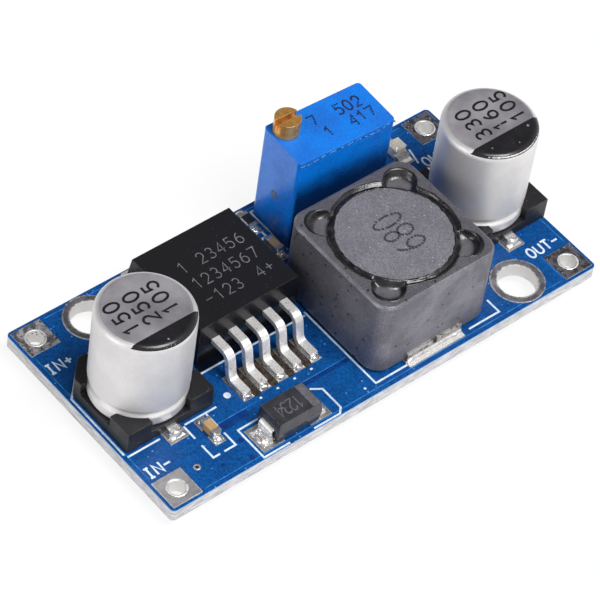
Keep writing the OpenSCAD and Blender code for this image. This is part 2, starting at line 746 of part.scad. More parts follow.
// Plan of the shield's opening: a round bore with a round bay in each corner.
module shield_opening() {
  circle(shield_bore_radius);
  for (x = [-1, 1], y = [-1, 1])
    translate([x, y] * shield_bay_offset) circle(shield_bay_radius);
}

module inductor_shield() color("#55565b") at_inductor() translate([0, 0, inductor_seat]) difference() {
  shield_outside();
  translate([0, 0, -cut]) linear_extrude(shield_height + 2 * cut) shield_opening();
}

// The drum core: two round flanges on a post.
module inductor_core() color("#6a6b70") at_inductor() translate([0, 0, inductor_seat]) {
  cylinder(h = core_flange_thickness, r = core_flange_radius);
  cylinder(h = core_height, r = core_post_radius);
  translate([0, 0, core_height - core_flange_thickness])
    cylinder(h = core_flange_thickness, r = core_flange_radius);
}

// The winding, turned from the outline of its stacked turns.
module inductor_winding() color("#9a5a2c")
  at_inductor() translate([0, 0, inductor_seat + core_flange_thickness]) rotate_extrude()
    for (turn = [0:winding_turns - 1]) {
      z = wire_diameter * turn;
      outside = core_post_radius + wire_diameter * winding_layers;
      translate([core_post_radius, z])
        square([outside - core_post_radius, wire_diameter]);
      translate([outside, z + wire_diameter / 2]) circle(d = wire_diameter, $fn = 16);
    }

module inductor_adhesive() color("#141416")
  at_inductor() translate([0, 0, inductor_seat + core_height - adhesive_depth])
    linear_extrude(adhesive_depth) difference() {
      shield_opening();
      circle(core_flange_radius);
    }

// A terminal plate under the shield's edge, with two tongues turned up against its side.
module inductor_terminal_shape() {
  outer = inductor_side / 2 + inductor_terminal_thickness;
  translate([0, outer - terminal_inner_length / 2, 0])
    block([inductor_terminal_width, terminal_inner_length, inductor_terminal_thickness]);
  for (side = [-1, 1])
    translate([side * (inductor_terminal_width - tongue_width) / 2,
               outer - inductor_terminal_thickness / 2, 0])
      block([tongue_width, inductor_terminal_thickness, inductor_tongue_height]);
}

module inductor_terminals() color("#cfd0d0") at_inductor()
  for (turn = [0, 180]) rotate(turn) inductor_terminal_shape();

module inductor_solder() color("#d4d5d6") at_inductor()
  for (turn = [0, 180]) rotate(turn)
    translate([0, inductor_side / 2 + inductor_terminal_thickness, 0]) intersection() {
      solder_mound(0, inductor_terminal_width, inductor_land_margin, inductor_land_side,
                   inductor_solder_height);
      translate([0, inductor_land_margin, 0])
        block([2 * inductor_terminal_width, 2 * inductor_land_margin, 2 * inductor_solder_height]);
    }

// ---- Diode ----

// Side view of the J-shaped lead at the diode's +X end: out of the body's end face, down past it
// and back in under it.
module j_lead_profile() {
  outer = diode_lead_radius + diode_lead_thickness / 2;
  inner = diode_lead_radius - diode_lead_thickness / 2;
  bend_x = diode_length / 2 + diode_lead_gap;
  buried_x = diode_length / 2 - diode_lead_buried_length;
  upper_centre = [bend_x, diode_parting_height - diode_lead_radius];
  lower_centre = [bend_x, diode_lead_thickness / 2 + diode_lead_radius];
  polygon(concat(
    [[buried_x, diode_parting_height + diode_lead_thickness / 2]],
    arc(upper_centre, outer, 90, 0),
    arc(lower_centre, outer, 0, -90),
    [[bend_x - diode_foot, 0], [bend_x - diode_foot, diode_lead_thickness]],
    arc(lower_centre, inner, -90, 0),
    arc(upper_centre, inner, 0, 90),
    [[buried_x, diode_parting_height - diode_lead_thickness / 2]]
  ));
}

module diode_lead_shapes()
  for (turn = [0, 180])
    rotate([90, 0, turn]) linear_extrude(diode_lead_width, center = true) j_lead_profile();

module diode_leads() color("#c8c9cb") at_diode() diode_lead_shapes();

module diode_body() color("#2b2c30") at_diode() difference() {
  moulded_body(diode_length, diode_width, diode_lift, diode_parting_height, diode_height);
  diode_lead_shapes();
}

module diode_solder() color("#d4d5d6") at_diode() {
  outer = diode_length / 2 + diode_lead_gap + diode_lead_radius + diode_lead_thickness / 2;
  difference() {
    for (side = [-1, 1])
      translate([side * (outer - diode_lead_radius), 0, 0]) rotate(90)
        solder_mound(2 * diode_lead_radius, diode_lead_width, diode_land_margin * solder_share,
                     diode_solder_side, diode_solder_height);
    diode_lead_shapes();
    block([diode_length + 2 * diode_lead_gap, 2 * diode_width, diode_height]);
  }
}

// ---- Trimmer ----

// The wheel's own frame: Z runs from its back face toward the element, along its axis.
module at_wheel() at_trimmer()
  translate([wheel_x, wheel_back_y, wheel_height]) rotate([90, 0, 0]) children();

// The housing: a thin-walled box, open below, with a stepped hole for the screw in its top, a
// pivot for the wheel on its back wall and four small feet.
module trimmer_housing() color("#1b6fd6") {
  at_trimmer() {
    difference() {
      translate([0, 0, trimmer_foot]) linear_extrude(trimmer_height - trimmer_foot)
        rounded_rectangle(trimmer_length, trimmer_depth, trimmer_corner_radius);
      block([trimmer_inside.x, trimmer_inside.y, trimmer_ceiling]);
      translate([screw_x, screw_y, trimmer_ceiling - cut]) {
        cylinder(h = trimmer_top + 2 * cut, r = screw_shank_radius + running_clearance);
        cylinder(h = seal_ring_thickness + cut, r = screw_shank_radius + seal_ring_width);
      }
    }
    for (x = [-1, 1], y = [-1, 1])
      translate([x * (trimmer_length / 2 - trimmer_foot_length), y * (trimmer_depth - trimmer_wall) / 2, 0])
        block([trimmer_foot_length, trimmer_wall, trimmer_foot]);
  }
  wall_gap = trimmer_inside.y / 2 - wheel_back_y;
  at_wheel() translate([0, 0, -wall_gap - cut]) {
    cylinder(h = wall_gap + cut + wheel_thickness, r = pivot_radius);
    cylinder(h = wall_gap + cut - running_clearance, r = hub_radius);
  }
}

// The adjusting screw: slotted head, shank, collar, neck, worm and tip, turned as one piece.
module trimmer_screw() color("#c8892f") at_trimmer() translate([screw_x, screw_y, 0]) {
  head_base = trimmer_height + running_clearance;
  worm_top = worm_bottom + worm_length;
  collar_top = trimmer_ceiling - running_clearance;
  difference() {
    translate([0, 0, head_base]) cylinder(h = screw_head_height, d = screw_head_diameter);
    translate([0, 0, head_base + screw_head_height - screw_slot_depth])
      block([2 * screw_head_diameter, screw_slot_width, 2 * screw_slot_depth]);
  }
  translate([0, 0, collar_top]) cylinder(h = head_base - collar_top, r = screw_shank_radius);
  translate([0, 0, collar_top - screw_collar_thickness])
    cylinder(h = screw_collar_thickness, r = collar_radius);
  translate([0, 0, worm_top])
    cylinder(h = collar_top - screw_collar_thickness - worm_top, r = worm_root);
  translate([0, 0, worm_bottom - screw_tip_length]) cylinder(h = screw_tip_length, r = worm_root);
  translate([0, 0, worm_bottom])
    linear_extrude(worm_length, twist = -360 * worm_turns, slices = worm_slices * worm_turns,
                   $fn = worm_sides)
      rotate(180 - 180 * worm_turns) translate([worm_offset, 0]) circle(worm_bar_radius);
}

// The rubber ring that seals the shank, in the step of the housing's hole.
module trimmer_seal_ring() color("#2b2b2e")
  at_trimmer() translate([screw_x, screw_y, trimmer_ceiling]) rotate_extrude()
    translate([screw_shank_radius + running_clearance, 0])
      square([seal_ring_width - running_clearance, seal_ring_thickness]);

// The plastic wheel: a thin toothed rim and a hub, bored for the pivot.
module trimmer_wheel() color("#d9d6c8") at_wheel() difference() {
  union() {
    linear_extrude(wheel_rim_thickness) {
      circle(wheel_root_radius);
      for (i = [0:wheel_teeth - 1]) rotate(180 + 360 * i / wheel_teeth)
        polygon([[wheel_root_radius / 2, -tooth_root_half], [wheel_root_radius, -tooth_root_half],
                 [wheel_tip_radius, -tooth_tip_half], [wheel_tip_radius, tooth_tip_half],
                 [wheel_root_radius, tooth_root_half], [wheel_root_radius / 2, tooth_root_half]]);
    }
    cylinder(h = wheel_thickness, r = hub_radius);
  }
  translate([0, 0, -cut])
    cylinder(h = wheel_thickness + 2 * cut, r = pivot_radius + running_clearance);
}

// The spring wiper on the wheel's hub: a flat arm with two fingers that reach for the track.
module trimmer_wiper() color("#b9a36a") at_wheel() rotate(wiper_angle) {
  track_face = wheel_back_y - element_y - element_thickness / 2 - track_thickness;
  finger_drop = track_face - wiper_gap - wheel_thickness;
  translate([0, 0, wheel_thickness]) {
    linear_extrude(wiper_thickness) difference() {
      union() {
        circle(hub_radius);
        translate([0, -1.5 * finger_width]) square([hub_radius + finger_width, 3 * finger_width]);
      }
      circle(pivot_radius + running_clearance);
    }
    for (side = [-1, 1])
      translate([0, side * finger_width, 0]) rotate([90, 0, 0])
        linear_extrude(finger_width, center = true)
          polygon([[hub_radius, 0], [hub_radius + finger_width, 0],
                   [track_radius, finger_drop - finger_width], [track_radius, finger_drop],
                   [track_radius - finger_width / 2, finger_drop], [hub_radius, wiper_thickness]]);
  }
}

// The ceramic plate that carries the resistive track, standing on the pins.
module trimmer_element() color("#e6e2d6") at_trimmer()
  translate([0, element_y, element_bottom])
    block([trimmer_inside.x - element_clearance, element_thickness, element_top - element_bottom]);

module trimmer_track() color("#303238")
  at_wheel() translate([0, 0, wheel_back_y - element_y - element_thickness / 2 - track_thickness])
    rotate(track_open_angle / 2 - 90) rotate_extrude(angle = 360 - track_open_angle)
      translate([track_radius - track_width / 2, 0]) square([track_width, track_thickness]);

module trimmer_pins() color("#c9cacc") at_trimmer_footprint()
  for (place = pin_places) translate([place.x, place.y, -pin_reach])
    cylinder(h = pin_reach + board_thickness + element_bottom, d = pin_diameter);

// The potting that closes the housing's open underside round the pins.
module trimmer_potting() color("#e8e6dc") at_trimmer() translate([0, 0, potting_bottom])
  linear_extrude(potting_top - potting_bottom) difference() {
    square(trimmer_inside, center = true);
    for (place = pin_places) translate(place) circle(d = pin_diameter);
  }

// Solder that fills each pin's plated hole and stands as a cone under the board.
module trimmer_solder() color("#d4d5d6") at_trimmer_footprint()
  for (place = pin_places) translate(place) difference() {
    union() {
      translate([0, 0, -plating_thickness])
        cylinder(h = land_top + plating_thickness, r = pin_hole_radius);
      translate([0, 0, -plating_thickness - solder_cone_height])
        cylinder(h = solder_cone_height, r1 = solder_cone_tip_radius, r2 = solder_cone_radius);
    }
    translate([0, 0, -2 * pin_reach]) cylinder(h = 2 * pin_reach + 2 * board_thickness, d = pin_diameter);
  }

// ---- Chip parts and indicator ----

// The ceramic middle of a chip part, a little smaller all round than its metal ends.
module chip_middle(place, height) at_chip(place)
  translate([0, 0, chip_skin])
    block([place[3] - 2 * chip_skin, place[2] - 2 * chip_end_length, height - 2 * chip_skin]);

module chip_end_pair(place, height) at_chip(place)
  for (side = [-1, 1])
    translate([0, side * (place[2] - chip_end_length) / 2, 0])
      block([place[3], chip_end_length, height]);

module input_chip_capacitor() color("#b98a55") chip_middle(chip_places[0], chip_capacitor_height);
module feedback_chip_capacitor() color("#b98a55") chip_middle(chip_places[1], chip_capacitor_height);
module feedback_resistor() color("#e9e9e6") chip_middle(chip_places[2], chip_resistor_height);
module indicator_resistor() color("#e9e9e6") chip_middle(chip_places[3], chip_resistor_height);

// The dark resistive film on each chip resistor.
module resistor_films() color("#1f2024") for (place = [chip_places[2], chip_places[3]])
  at_chip(place) translate([0, 0, chip_resistor_height - chip_skin])
    block([place[3] - 2 * chip_skin, place[2] - 2 * chip_end_length, film_thickness]);

module chip_ends() color("#cfcfce") {
  for (place = [chip_places[0], chip_places[1]]) chip_end_pair(place, chip_capacitor_height);
  for (place = [chip_places[2], chip_places[3]]) chip_end_pair(place, chip_resistor_height);
}

// Solder on the outer face of both metal ends of every chip part.
module chip_solder() color("#d4d5d6") for (place = chip_places) at_chip(place) difference() {
  solder_mound(place[2], place[3] - chip_land_side, chip_land_margin * solder_share, chip_land_side,
               chip_solder_height);
  block([2 * place[3], place[2], 2 * chip_solder_height]);
}

module indicator_base() color("#e8e4d8") at_chip(chip_places[4])
  block([indicator_width, indicator_length - 2 * indicator_end_length, indicator_base_height]);

module indicator_lens() color("#e6dccb") at_chip(chip_places[4])
  translate([0, 0, indicator_base_height]) linear_extrude(indicator_height - indicator_base_height)
    rounded_rectangle(indicator_width, indicator_length - 2 * indicator_end_length, lens_corner_radius);

module indicator_ends() color("#cfcfce") at_chip(chip_places[4])
  for (side = [-1, 1])
    translate([0, side * (indicator_length - indicator_end_length) / 2, 0])
      block([indicator_width, indicator_end_length, indicator_base_height]);

circuit_board();
fixing_hole_rings();
input_positive_pad();
input_negative_pad();
output_positive_pad();
output_negative_pad();
component_lands();
input_capacitor_can();
input_capacitor_base();
input_capacitor_leads();
output_capacitor_can();
output_capacitor_base();
output_capacitor_leads();
capacitor_solder();
regulator_body();
regulator_tab();
regulator_leads();
regulator_solder();
inductor_shield();
inductor_core();
inductor_winding();
inductor_adhesive();
inductor_terminals();
inductor_solder();
diode_body();
diode_leads();
diode_solder();
trimmer_housing();
trimmer_screw();
trimmer_seal_ring();
trimmer_wheel();
trimmer_wiper();
trimmer_element();
trimmer_track();
trimmer_pins();
trimmer_potting();
trimmer_pin_lands();
trimmer_solder();
input_chip_capacitor();
feedback_chip_capacitor();
feedback_resistor();
indicator_resistor();
resistor_films();
chip_ends();
chip_solder();
indicator_base();
indicator_lens();
indicator_ends();
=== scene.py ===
"""Dresses the buck converter module: finishes, printed marks, solder and glue detail, studio and camera.

Lengths are in millimetres and become metres where a mesh or a node needs them. The frame is the
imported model's own: +X from the input end to the output end, +Y from the negative pads to the
positive pads, +Z up from the components' side of the board.
"""

import logging
import math
from collections.abc import Callable, Iterable, Sequence
from dataclasses import dataclass, field
from enum import Enum
from functools import cache

import bpy
from mathutils import Matrix, Vector, noise

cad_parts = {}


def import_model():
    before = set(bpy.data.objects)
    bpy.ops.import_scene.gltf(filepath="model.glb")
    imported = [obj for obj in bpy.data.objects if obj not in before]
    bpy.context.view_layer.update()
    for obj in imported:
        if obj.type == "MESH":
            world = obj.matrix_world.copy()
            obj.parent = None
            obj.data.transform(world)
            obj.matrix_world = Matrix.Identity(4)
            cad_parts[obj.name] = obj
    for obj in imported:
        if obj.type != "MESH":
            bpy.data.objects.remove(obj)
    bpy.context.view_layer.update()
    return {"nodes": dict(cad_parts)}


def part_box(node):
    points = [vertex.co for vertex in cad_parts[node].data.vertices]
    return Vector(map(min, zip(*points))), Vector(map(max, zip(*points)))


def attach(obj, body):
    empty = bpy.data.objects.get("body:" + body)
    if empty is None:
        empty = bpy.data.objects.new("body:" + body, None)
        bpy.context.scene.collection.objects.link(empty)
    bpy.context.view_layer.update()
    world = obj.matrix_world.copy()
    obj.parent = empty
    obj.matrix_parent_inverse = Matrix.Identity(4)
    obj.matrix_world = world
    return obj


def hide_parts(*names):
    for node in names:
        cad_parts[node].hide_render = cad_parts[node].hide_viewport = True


MM = 0.001
ROOT_BODY = "module"
LOG = logging.getLogger("buck_converter_module")

# Leads of the regulator, and the width of one.
LEAD_COUNT = 5
LEAD_WIDTH = 0.75

# Height of printed ink over its surface, its thickness, and how much higher a next stroke or a next
# dot may lie, so that none share a face.
INK_TOP = 0.012
INK_FILM = 0.01
STROKE_LIFT = 0.001
DOT_LIFT = 0.002

# A Mix node's two colour inputs and its colour output.
MIX_FIRST = 6
MIX_SECOND = 7
MIX_COLOUR = 2

Point = tuple[float, float]
Stroke = list[Point]
Radii = tuple[float, float, float]
Colour = tuple[float, float, float, float]
Socket = bpy.types.NodeSocket

WHITE: Colour = (1.0, 1.0, 1.0, 1.0)


# ---- Measures and small geometry ----


@dataclass(frozen=True)
class Span:
    """The box that a CAD node fills at rest, in millimetres."""

    low: Vector
    high: Vector

    @classmethod
    @cache
    def of(cls, node: str) -> "Span":
        """Reads a node's box from the frame.

        Args:
            node: Name of the CAD node.

        Returns:
            The node's span in millimetres.
        """
        low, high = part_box(node)
        return cls(Vector(low) / MM, Vector(high) / MM)

    @property
    def centre(self) -> Vector:
        """Middle of the box."""
        return (self.low + self.high) / 2

    @property
    def size(self) -> Vector:
        """Lengths of the box's sides."""
        return self.high - self.low


@dataclass(frozen=True)
class Plane:
    """A flat drawing surface: an origin, the way that lettering runs and the way that its tops point."""

    origin: Vector
    across: Vector = Vector((1, 0, 0))
    upward: Vector = Vector((0, 1, 0))

    def at(self, u: float, v: float, lift: float = 0.0) -> Vector:
        """Point of the frame at (u, v) on the plane, raised by lift."""
        normal = self.across.cross(self.upward)
        return self.origin + self.across * u + self.upward * v + normal * lift


def arc(cx: float, cy: float, rx: float, ry: float, start: float, end: float, steps: int = 12) -> Stroke:
    """Points along an ellipse.

    Args:
        cx: Centre, first coordinate.
        cy: Centre, second coordinate.
        rx: First radius.
        ry: Second radius.
        start: First angle in degrees.
        end: Last angle in degrees.
        steps: Number of chords.

    Returns:
        The points, first to last.
    """
    angles = [math.radians(start + (end - start) * i / steps) for i in range(steps + 1)]
    return [(cx + rx * math.cos(a), cy + ry * math.sin(a)) for a in angles]


def wobble(x: float, y: float, seed: float = 0.0) -> float:
    """Smooth repeatable noise between about -1 and 1."""
    return noise.noise(Vector((x, y, seed)))


class Builder:
    """Collects points and faces in millimetres and turns them into one piece of the scene."""

    same_place: float = 1e-6
    longest_mitre: float = 1.8
    sharpest_turn: float = 0.2
    lump_scale: float = 1.7
    seed_stride: float = 2.3

    def __init__(self) -> None:
        """Starts with nothing."""
        self.points: list[Vector] = []
        self.faces: list[tuple[int, ...]] = []

    def add(self, points: Iterable[Vector], faces: Iterable[Sequence[int]]) -> None:
        """Adds a patch.

        Args:
            points: Its points.
            faces: Its faces, counted from its own first point.
        """
        base = len(self.points)
        self.points.extend(points)
        self.faces.extend(tuple(base + i for i in face) for face in faces)

    def grid(self, place: Callable[[int, int], Vector], columns: int, rows: int, loop: bool = False) -> None:
        """Adds a sheet of quads.

        Args:
            place: Gives the point of a column and a row.
            columns: Number of points one way.
            rows: Number of points the other way.
            loop: Whether the last column joins the first.
        """
        points = [place(i, j) for i in range(columns) for j in range(rows)]
        last = columns if loop else columns - 1
        faces = []
        for i in range(last):
            here, beyond = i * rows, (i + 1) % columns * rows
            faces.extend((here + j, beyond + j, beyond + j + 1, here + j + 1) for j in range(rows - 1))
        self.add(points, faces)

    def ribbon(self, plane: Plane, path: Stroke, width: float, lift: float = INK_TOP) -> None:
        """Adds a flat line of ink or mask with a small thickness and mitred corners.

        Args:
            plane: The surface that it lies on.
            path: Its middle line. It closes where the last point repeats the first.
            width: Its width.
            lift: Height of its top over the plane.
        """
        closed = math.dist(path[0], path[-1]) < self.same_place and len(path) > 2
        line = path[:-1] if closed else path
        count = len(line)
        sides: list[tuple[Point, Point]] = []
        for i, (x, y) in enumerate(line):
            before = line[i - 1] if i or closed else line[i]
            after = line[(i + 1) % count] if i < count - 1 or closed else line[i]
            ways = [
                Vector((b[0] - a[0], b[1] - a[1])).normalized()
                for a, b in ((before, (x, y)), ((x, y), after))
                if a != b
            ]
            way = sum(ways, Vector((0, 0))).normalized()
            mitre = min(self.longest_mitre, 1 / max(self.sharpest_turn, way.dot(ways[0])))
            dx, dy = -way.y * width / 2 * mitre, way.x * width / 2 * mitre
            sides.append(((x + dx, y + dy), (x - dx, y - dy)))

        def place(i: int, j: int) -> Vector:
            """Corner of the ribbon.

            Args:
                i: Which point of the line.
                j: Which corner of the section, from the lower left over the top and back.

            Returns:
                The corner.
            """
            left, right = sides[i]
            side = left if j in (0, 1, 4) else right
            return plane.at(*side, lift - INK_FILM if j in (0, 3, 4) else lift)

        self.grid(place, count, 5, closed)

    def disc(
        self, plane: Plane, centre: Point, radius: float, lift: float = INK_TOP, sides: int = 16
    ) -> None:
        """Adds a flat dot with a small thickness."""
        self.spin(plane, centre, [(radius, lift - INK_FILM), (radius, lift), (0.0, lift)], sides)

    def spin(self, plane: Plane, centre: Point, section: Stroke, sides: int = 32) -> None:
        """Adds a turned form.

        Args:
            plane: The surface that it stands on.
            centre: Its axis on the plane.
            section: Radius and height of each point of its half section.
            sides: Number of steps round it.
        """

        def place(i: int, j: int) -> Vector:
            """Point of the turned form.

            Args:
                i: Which step round the axis.
                j: Which point of the section.

            Returns:
                The point.
            """
            a = 2 * math.pi * i / sides
            radius, height = section[j]
            return plane.at(centre[0] + radius * math.cos(a), centre[1] + radius * math.sin(a), height)

        self.grid(place, sides, len(section), True)

    def lump(self, centre: Vector, radii: Vector, seed: float, rough: float = 0.16, steps: int = 14) -> None:
        """Adds an uneven bead.

        Args:
            centre: Its middle.
            radii: Its three half lengths.
            seed: Which noise shapes it.
            rough: How uneven it is.
            steps: Number of steps from pole to pole.
        """

        def place(i: int, j: int) -> Vector:
            """Point of the bead.

            Args:
                i: Which step round it.
                j: Which step from pole to pole.

            Returns:
                The point.
            """
            turn, tilt = math.pi * i / steps, math.pi * (j / steps - 0.5)
            way = Vector((math.cos(turn) * math.cos(tilt), math.sin(turn) * math.cos(tilt), math.sin(tilt)))
            drawn = way * self.lump_scale + Vector((seed, seed * self.seed_stride, 0))
            swell = 1 + rough * noise.noise(drawn)
            return centre + Vector((way.x * radii.x, way.y * radii.y, way.z * radii.z)) * swell

        self.grid(place, 2 * steps, steps + 1, True)

    def piece(
        self, name: str, finish: "Finish", slot: str = "", smooth: bool = False
    ) -> bpy.types.Object:
        """Makes the piece, dresses it and lets it ride on the module.

        Args:
            name: Name of the piece.
            finish: What it is made of.
            slot: Name of the record's material slot; not used. Inks have none.
            smooth: Whether it is shaded smooth.

        Returns:
            The new object.
        """
        mesh = bpy.data.meshes.new(name)
        mesh.from_pydata([p * MM for p in self.points], [], self.faces)
        mesh.validate()
        mesh.polygons.foreach_set("use_smooth", [smooth] * len(mesh.polygons))
        made = bpy.data.objects.new(name, mesh)
        bpy.context.scene.collection.objects.link(made)
        mesh.materials.append(finish.material())
        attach(made, ROOT_BODY)
        LOG.info("%s: %d faces of %s", name, len(mesh.polygons), finish.name)
        return made


# ---- Shader nodes ----


def linear(colour: str) -> Colour:
    """Turns a hex colour as seen on a screen into a linear one."""
    parts = [int(colour[i : i + 2], 16) / 255 for i in (1, 3, 5)]
    return (*[p / 12.92 if p <= 0.04045 else ((p + 0.055) / 1.055) ** 2.4 for p in parts], 1.0)


class Graph:
    """Adds nodes to a tree and wires them."""

    def __init__(self, tree: bpy.types.NodeTree) -> None:
        """Takes the tree that the nodes go into."""
        self.tree = tree

    def node(self, kind: str, settings: dict | None = None, **inputs: object) -> bpy.types.Node:
        """Adds a node.

        Args:
            kind: Blender's name of the node type.
            settings: Attributes of the node.
            **inputs: Values or sockets for its inputs, with _ for a space.

        Returns:
            The new node.
        """
        made = self.tree.nodes.new(kind)
        for key, value in (settings or {}).items():
            setattr(made, key, value)
        for key, value in inputs.items():
            self.feed(made.inputs[key.replace("_", " ")], value)
        return made

    def feed(self, target: Socket, value: object) -> None:
        """Gives an input a value or a link.

        Args:
            target: The input.
            value: A value, or the socket that it is linked to.
        """
        if isinstance(value, bpy.types.NodeSocket):
            self.tree.links.new(value, target)
        else:
            target.default_value = value

    def place(self) -> Socket:
        """Position on the piece, in metres of the frame."""
        return self.node("ShaderNodeTexCoord").outputs["Object"]

    def math(self, operation: str, first: object, second: object = 0.0, clamp: bool = False) -> Socket:
        """Adds a Math node.

        Args:
            operation: Blender's name of the operation.
            first: First value or socket.
            second: Second value or socket.
            clamp: Whether the result stays between 0 and 1.

        Returns:
            Its result.
        """
        made = self.node("ShaderNodeMath", {"operation": operation, "use_clamp": clamp})
        self.feed(made.inputs[0], first)
        self.feed(made.inputs[1], second)
        return made.outputs[0]

    def mix(self, share: object, first: object, second: object, blend: str = "MIX") -> Socket:
        """Mixes two colours.

        Args:
            share: How much of the second colour, as a value or socket.
            first: First colour or socket.
            second: Second colour or socket.
            blend: Blender's name of the blend.

        Returns:
            The mixed colour.
        """
        made = self.node("ShaderNodeMix", {"data_type": "RGBA", "blend_type": blend})
        self.feed(made.inputs[0], share)
        self.feed(made.inputs[MIX_FIRST], first)
        self.feed(made.inputs[MIX_SECOND], second)
        return made.outputs[MIX_COLOUR]

    def remap(
        self, value: Socket, low: float, high: float, to_low: float = 0.0, to_high: float = 1.0
    ) -> Socket:
        """Maps a value from one range onto another, smoothly and clamped.

        Args:
            value: The value.
            low: Start of its range.
            high: End of its range.
            to_low: What the start becomes.
            to_high: What the end becomes.

        Returns:
            The mapped value.
        """
        made = self.node(
            "ShaderNodeMapRange", {"interpolation_type": "SMOOTHSTEP"},
            Value=value, From_Min=low, From_Max=high, To_Min=to_low, To_Max=to_high,
        )
        return made.outputs[0]

    def noise(self, vector: Socket, scale: object, detail: float = 3.0, roughness: float = 0.55) -> Socket:
        """Adds a Noise Texture and gives its value."""
        made = self.node("ShaderNodeTexNoise", Vector=vector, Scale=scale, Detail=detail, Roughness=roughness)
        return made.outputs[0]

    def group(self, effect: "Effect", **inputs: object) -> dict[str, Socket]:
        """Places a shared effect.

        Args:
            effect: Which effect.
            **inputs: Values or sockets for its inputs, with _ for a space.

        Returns:
            Its outputs by name.
        """
        made = self.node("ShaderNodeGroup", {"node_tree": effect.tree()})
        for key, value in inputs.items():
            self.feed(made.inputs[key.replace("_", " ")], value)
        return {socket.name: socket for socket in made.outputs}


class Effect(Enum):
    """The effects that several finishes share, each a node group that is built once."""

    GRAIN = "surface_grain"
    STAINS = "soft_stains"
    SPECKS = "small_specks"
    STREAKS = "drawn_streaks"
    EDGE_WEAR_AND_HIGHLIGHT = "edge_wear_and_highlight"
    FACING = "faces_up"

    def tree(self) -> bpy.types.NodeTree:
        """The effect's node group, built when it is first used.

        Returns:
            The group.
        """
        made = bpy.data.node_groups.get(self.value)
        if made is None:
            made = bpy.data.node_groups.new(self.value, "ShaderNodeTree")
            BUILDERS[self](made)
        return made


def sockets(
    tree: bpy.types.NodeTree, inputs: dict[str, float], outputs: Sequence[str]
) -> tuple[Graph, bpy.types.NodeOutputs, bpy.types.NodeInputs]:
    """Gives a group its sockets.

    Args:
        tree: The group.
        inputs: Its number inputs with their defaults. A vector input Place comes first.
        outputs: Its number outputs.

    Returns:
        The group's graph, the values that it is given and the results that it puts out.
    """
    tree.interface.new_socket("Place", in_out="INPUT", socket_type="NodeSocketVector")
    for name, value in inputs.items():
        made = tree.interface.new_socket(name, in_out="INPUT", socket_type="NodeSocketFloat")
        made.default_value = value
    for name in outputs:
        tree.interface.new_socket(name, in_out="OUTPUT", socket_type="NodeSocketFloat")
    graph = Graph(tree)
    return graph, graph.node("NodeGroupInput").outputs, graph.node("NodeGroupOutput").inputs


def build_grain(tree: bpy.types.NodeTree) -> None:
    """Fine grain: Value lies round one half, and Height is for bumps.

    Args:
        tree: The group.
    """
    graph, given, result = sockets(tree, {"Scale": 8000.0, "Contrast": 1.0}, ["Value", "Height"])
    raw = graph.noise(given["Place"], given["Scale"], detail=4.0, roughness=0.7)
    spread = graph.math("MULTIPLY", graph.math("SUBTRACT", raw, 0.5), given["Contrast"])
    graph.feed(result["Value"], graph.math("ADD", spread, 0.5, clamp=True))
    graph.feed(result["Height"], raw)


def build_stains(tree: bpy.types.NodeTree) -> None:
    """Soft patches of stain or tarnish: Mask is 1 in a patch.

    Args:
        tree: The group.
    """
    graph, given, result = sockets(tree, {"Scale": 700.0, "Coverage": 0.5, "Softness": 0.15}, ["Mask"])
    bare_level, cover_span = 0.86, 0.72
    raw = graph.noise(given["Place"], given["Scale"], detail=5.0, roughness=0.62)
    level = graph.math("SUBTRACT", bare_level, graph.math("MULTIPLY", given["Coverage"], cover_span))
    rise = graph.math("DIVIDE", graph.math("SUBTRACT", raw, level), given["Softness"])
    graph.feed(result["Mask"], graph.math("ADD", rise, 0.5, clamp=True))


def build_specks(tree: bpy.types.NodeTree) -> None:
    """Sparse round specks or pits: Mask is 1 in a speck.

    Args:
        tree: The group.
    """
    graph, given, result = sockets(tree, {"Scale": 5000.0, "Density": 0.2, "Size": 0.3}, ["Mask"])
    blur = 0.12
    cells = graph.node("ShaderNodeTexVoronoi", Vector=given["Place"], Scale=given["Scale"])
    draw = graph.node("ShaderNodeSeparateColor", Color=cells.outputs["Color"]).outputs[0]
    chosen = graph.math("LESS_THAN", draw, given["Density"])
    near = graph.math("DIVIDE", graph.math("SUBTRACT", given["Size"], cells.outputs["Distance"]), blur)
    graph.feed(result["Mask"], graph.math("MULTIPLY", chosen, graph.math("ADD", near, 0.0, clamp=True)))


def build_streaks(tree: bpy.types.NodeTree) -> None:
    """Fine lines along Z, as drawn or rolled metal has: Value lies round one half.

    Args:
        tree: The group.
    """
    graph, given, result = sockets(tree, {"Scale": 9000.0, "Length": 12.0}, ["Value"])
    parts = graph.node("ShaderNodeSeparateXYZ", Vector=given["Place"]).outputs
    long = graph.math("DIVIDE", parts["Z"], given["Length"])
    stretched = graph.node("ShaderNodeCombineXYZ", X=parts["X"], Y=parts["Y"], Z=long).outputs[0]
    graph.feed(result["Value"], graph.noise(stretched, given["Scale"], detail=2.0, roughness=0.5))


def build_edge_wear_and_highlight(tree: bpy.types.NodeTree) -> None:
    """Lighter edges, partly rubbed wear and partly painted highlight: Mask is 1 on an edge, and breaks up
    along it.

    Args:
        tree: The group.
    """
    graph, given, result = sockets(tree, {"Radius": 0.00006, "Gain": 6.0, "Scale": 3000.0}, ["Mask"])
    soft = graph.node("ShaderNodeBevel", {"samples": 6}, Radius=given["Radius"]).outputs[0]
    true = graph.node("ShaderNodeNewGeometry").outputs["Normal"]
    turned = graph.node("ShaderNodeVectorMath", {"operation": "DOT_PRODUCT"})
    graph.feed(turned.inputs[0], soft)
    graph.feed(turned.inputs[1], true)
    away = graph.math("SUBTRACT", 1.0, turned.outputs["Value"])
    bend = graph.math("MULTIPLY", away, given["Gain"], clamp=True)
    broken = graph.remap(graph.noise(given["Place"], given["Scale"]), low=0.35, high=0.6)
    graph.feed(result["Mask"], graph.math("MULTIPLY", bend, broken))


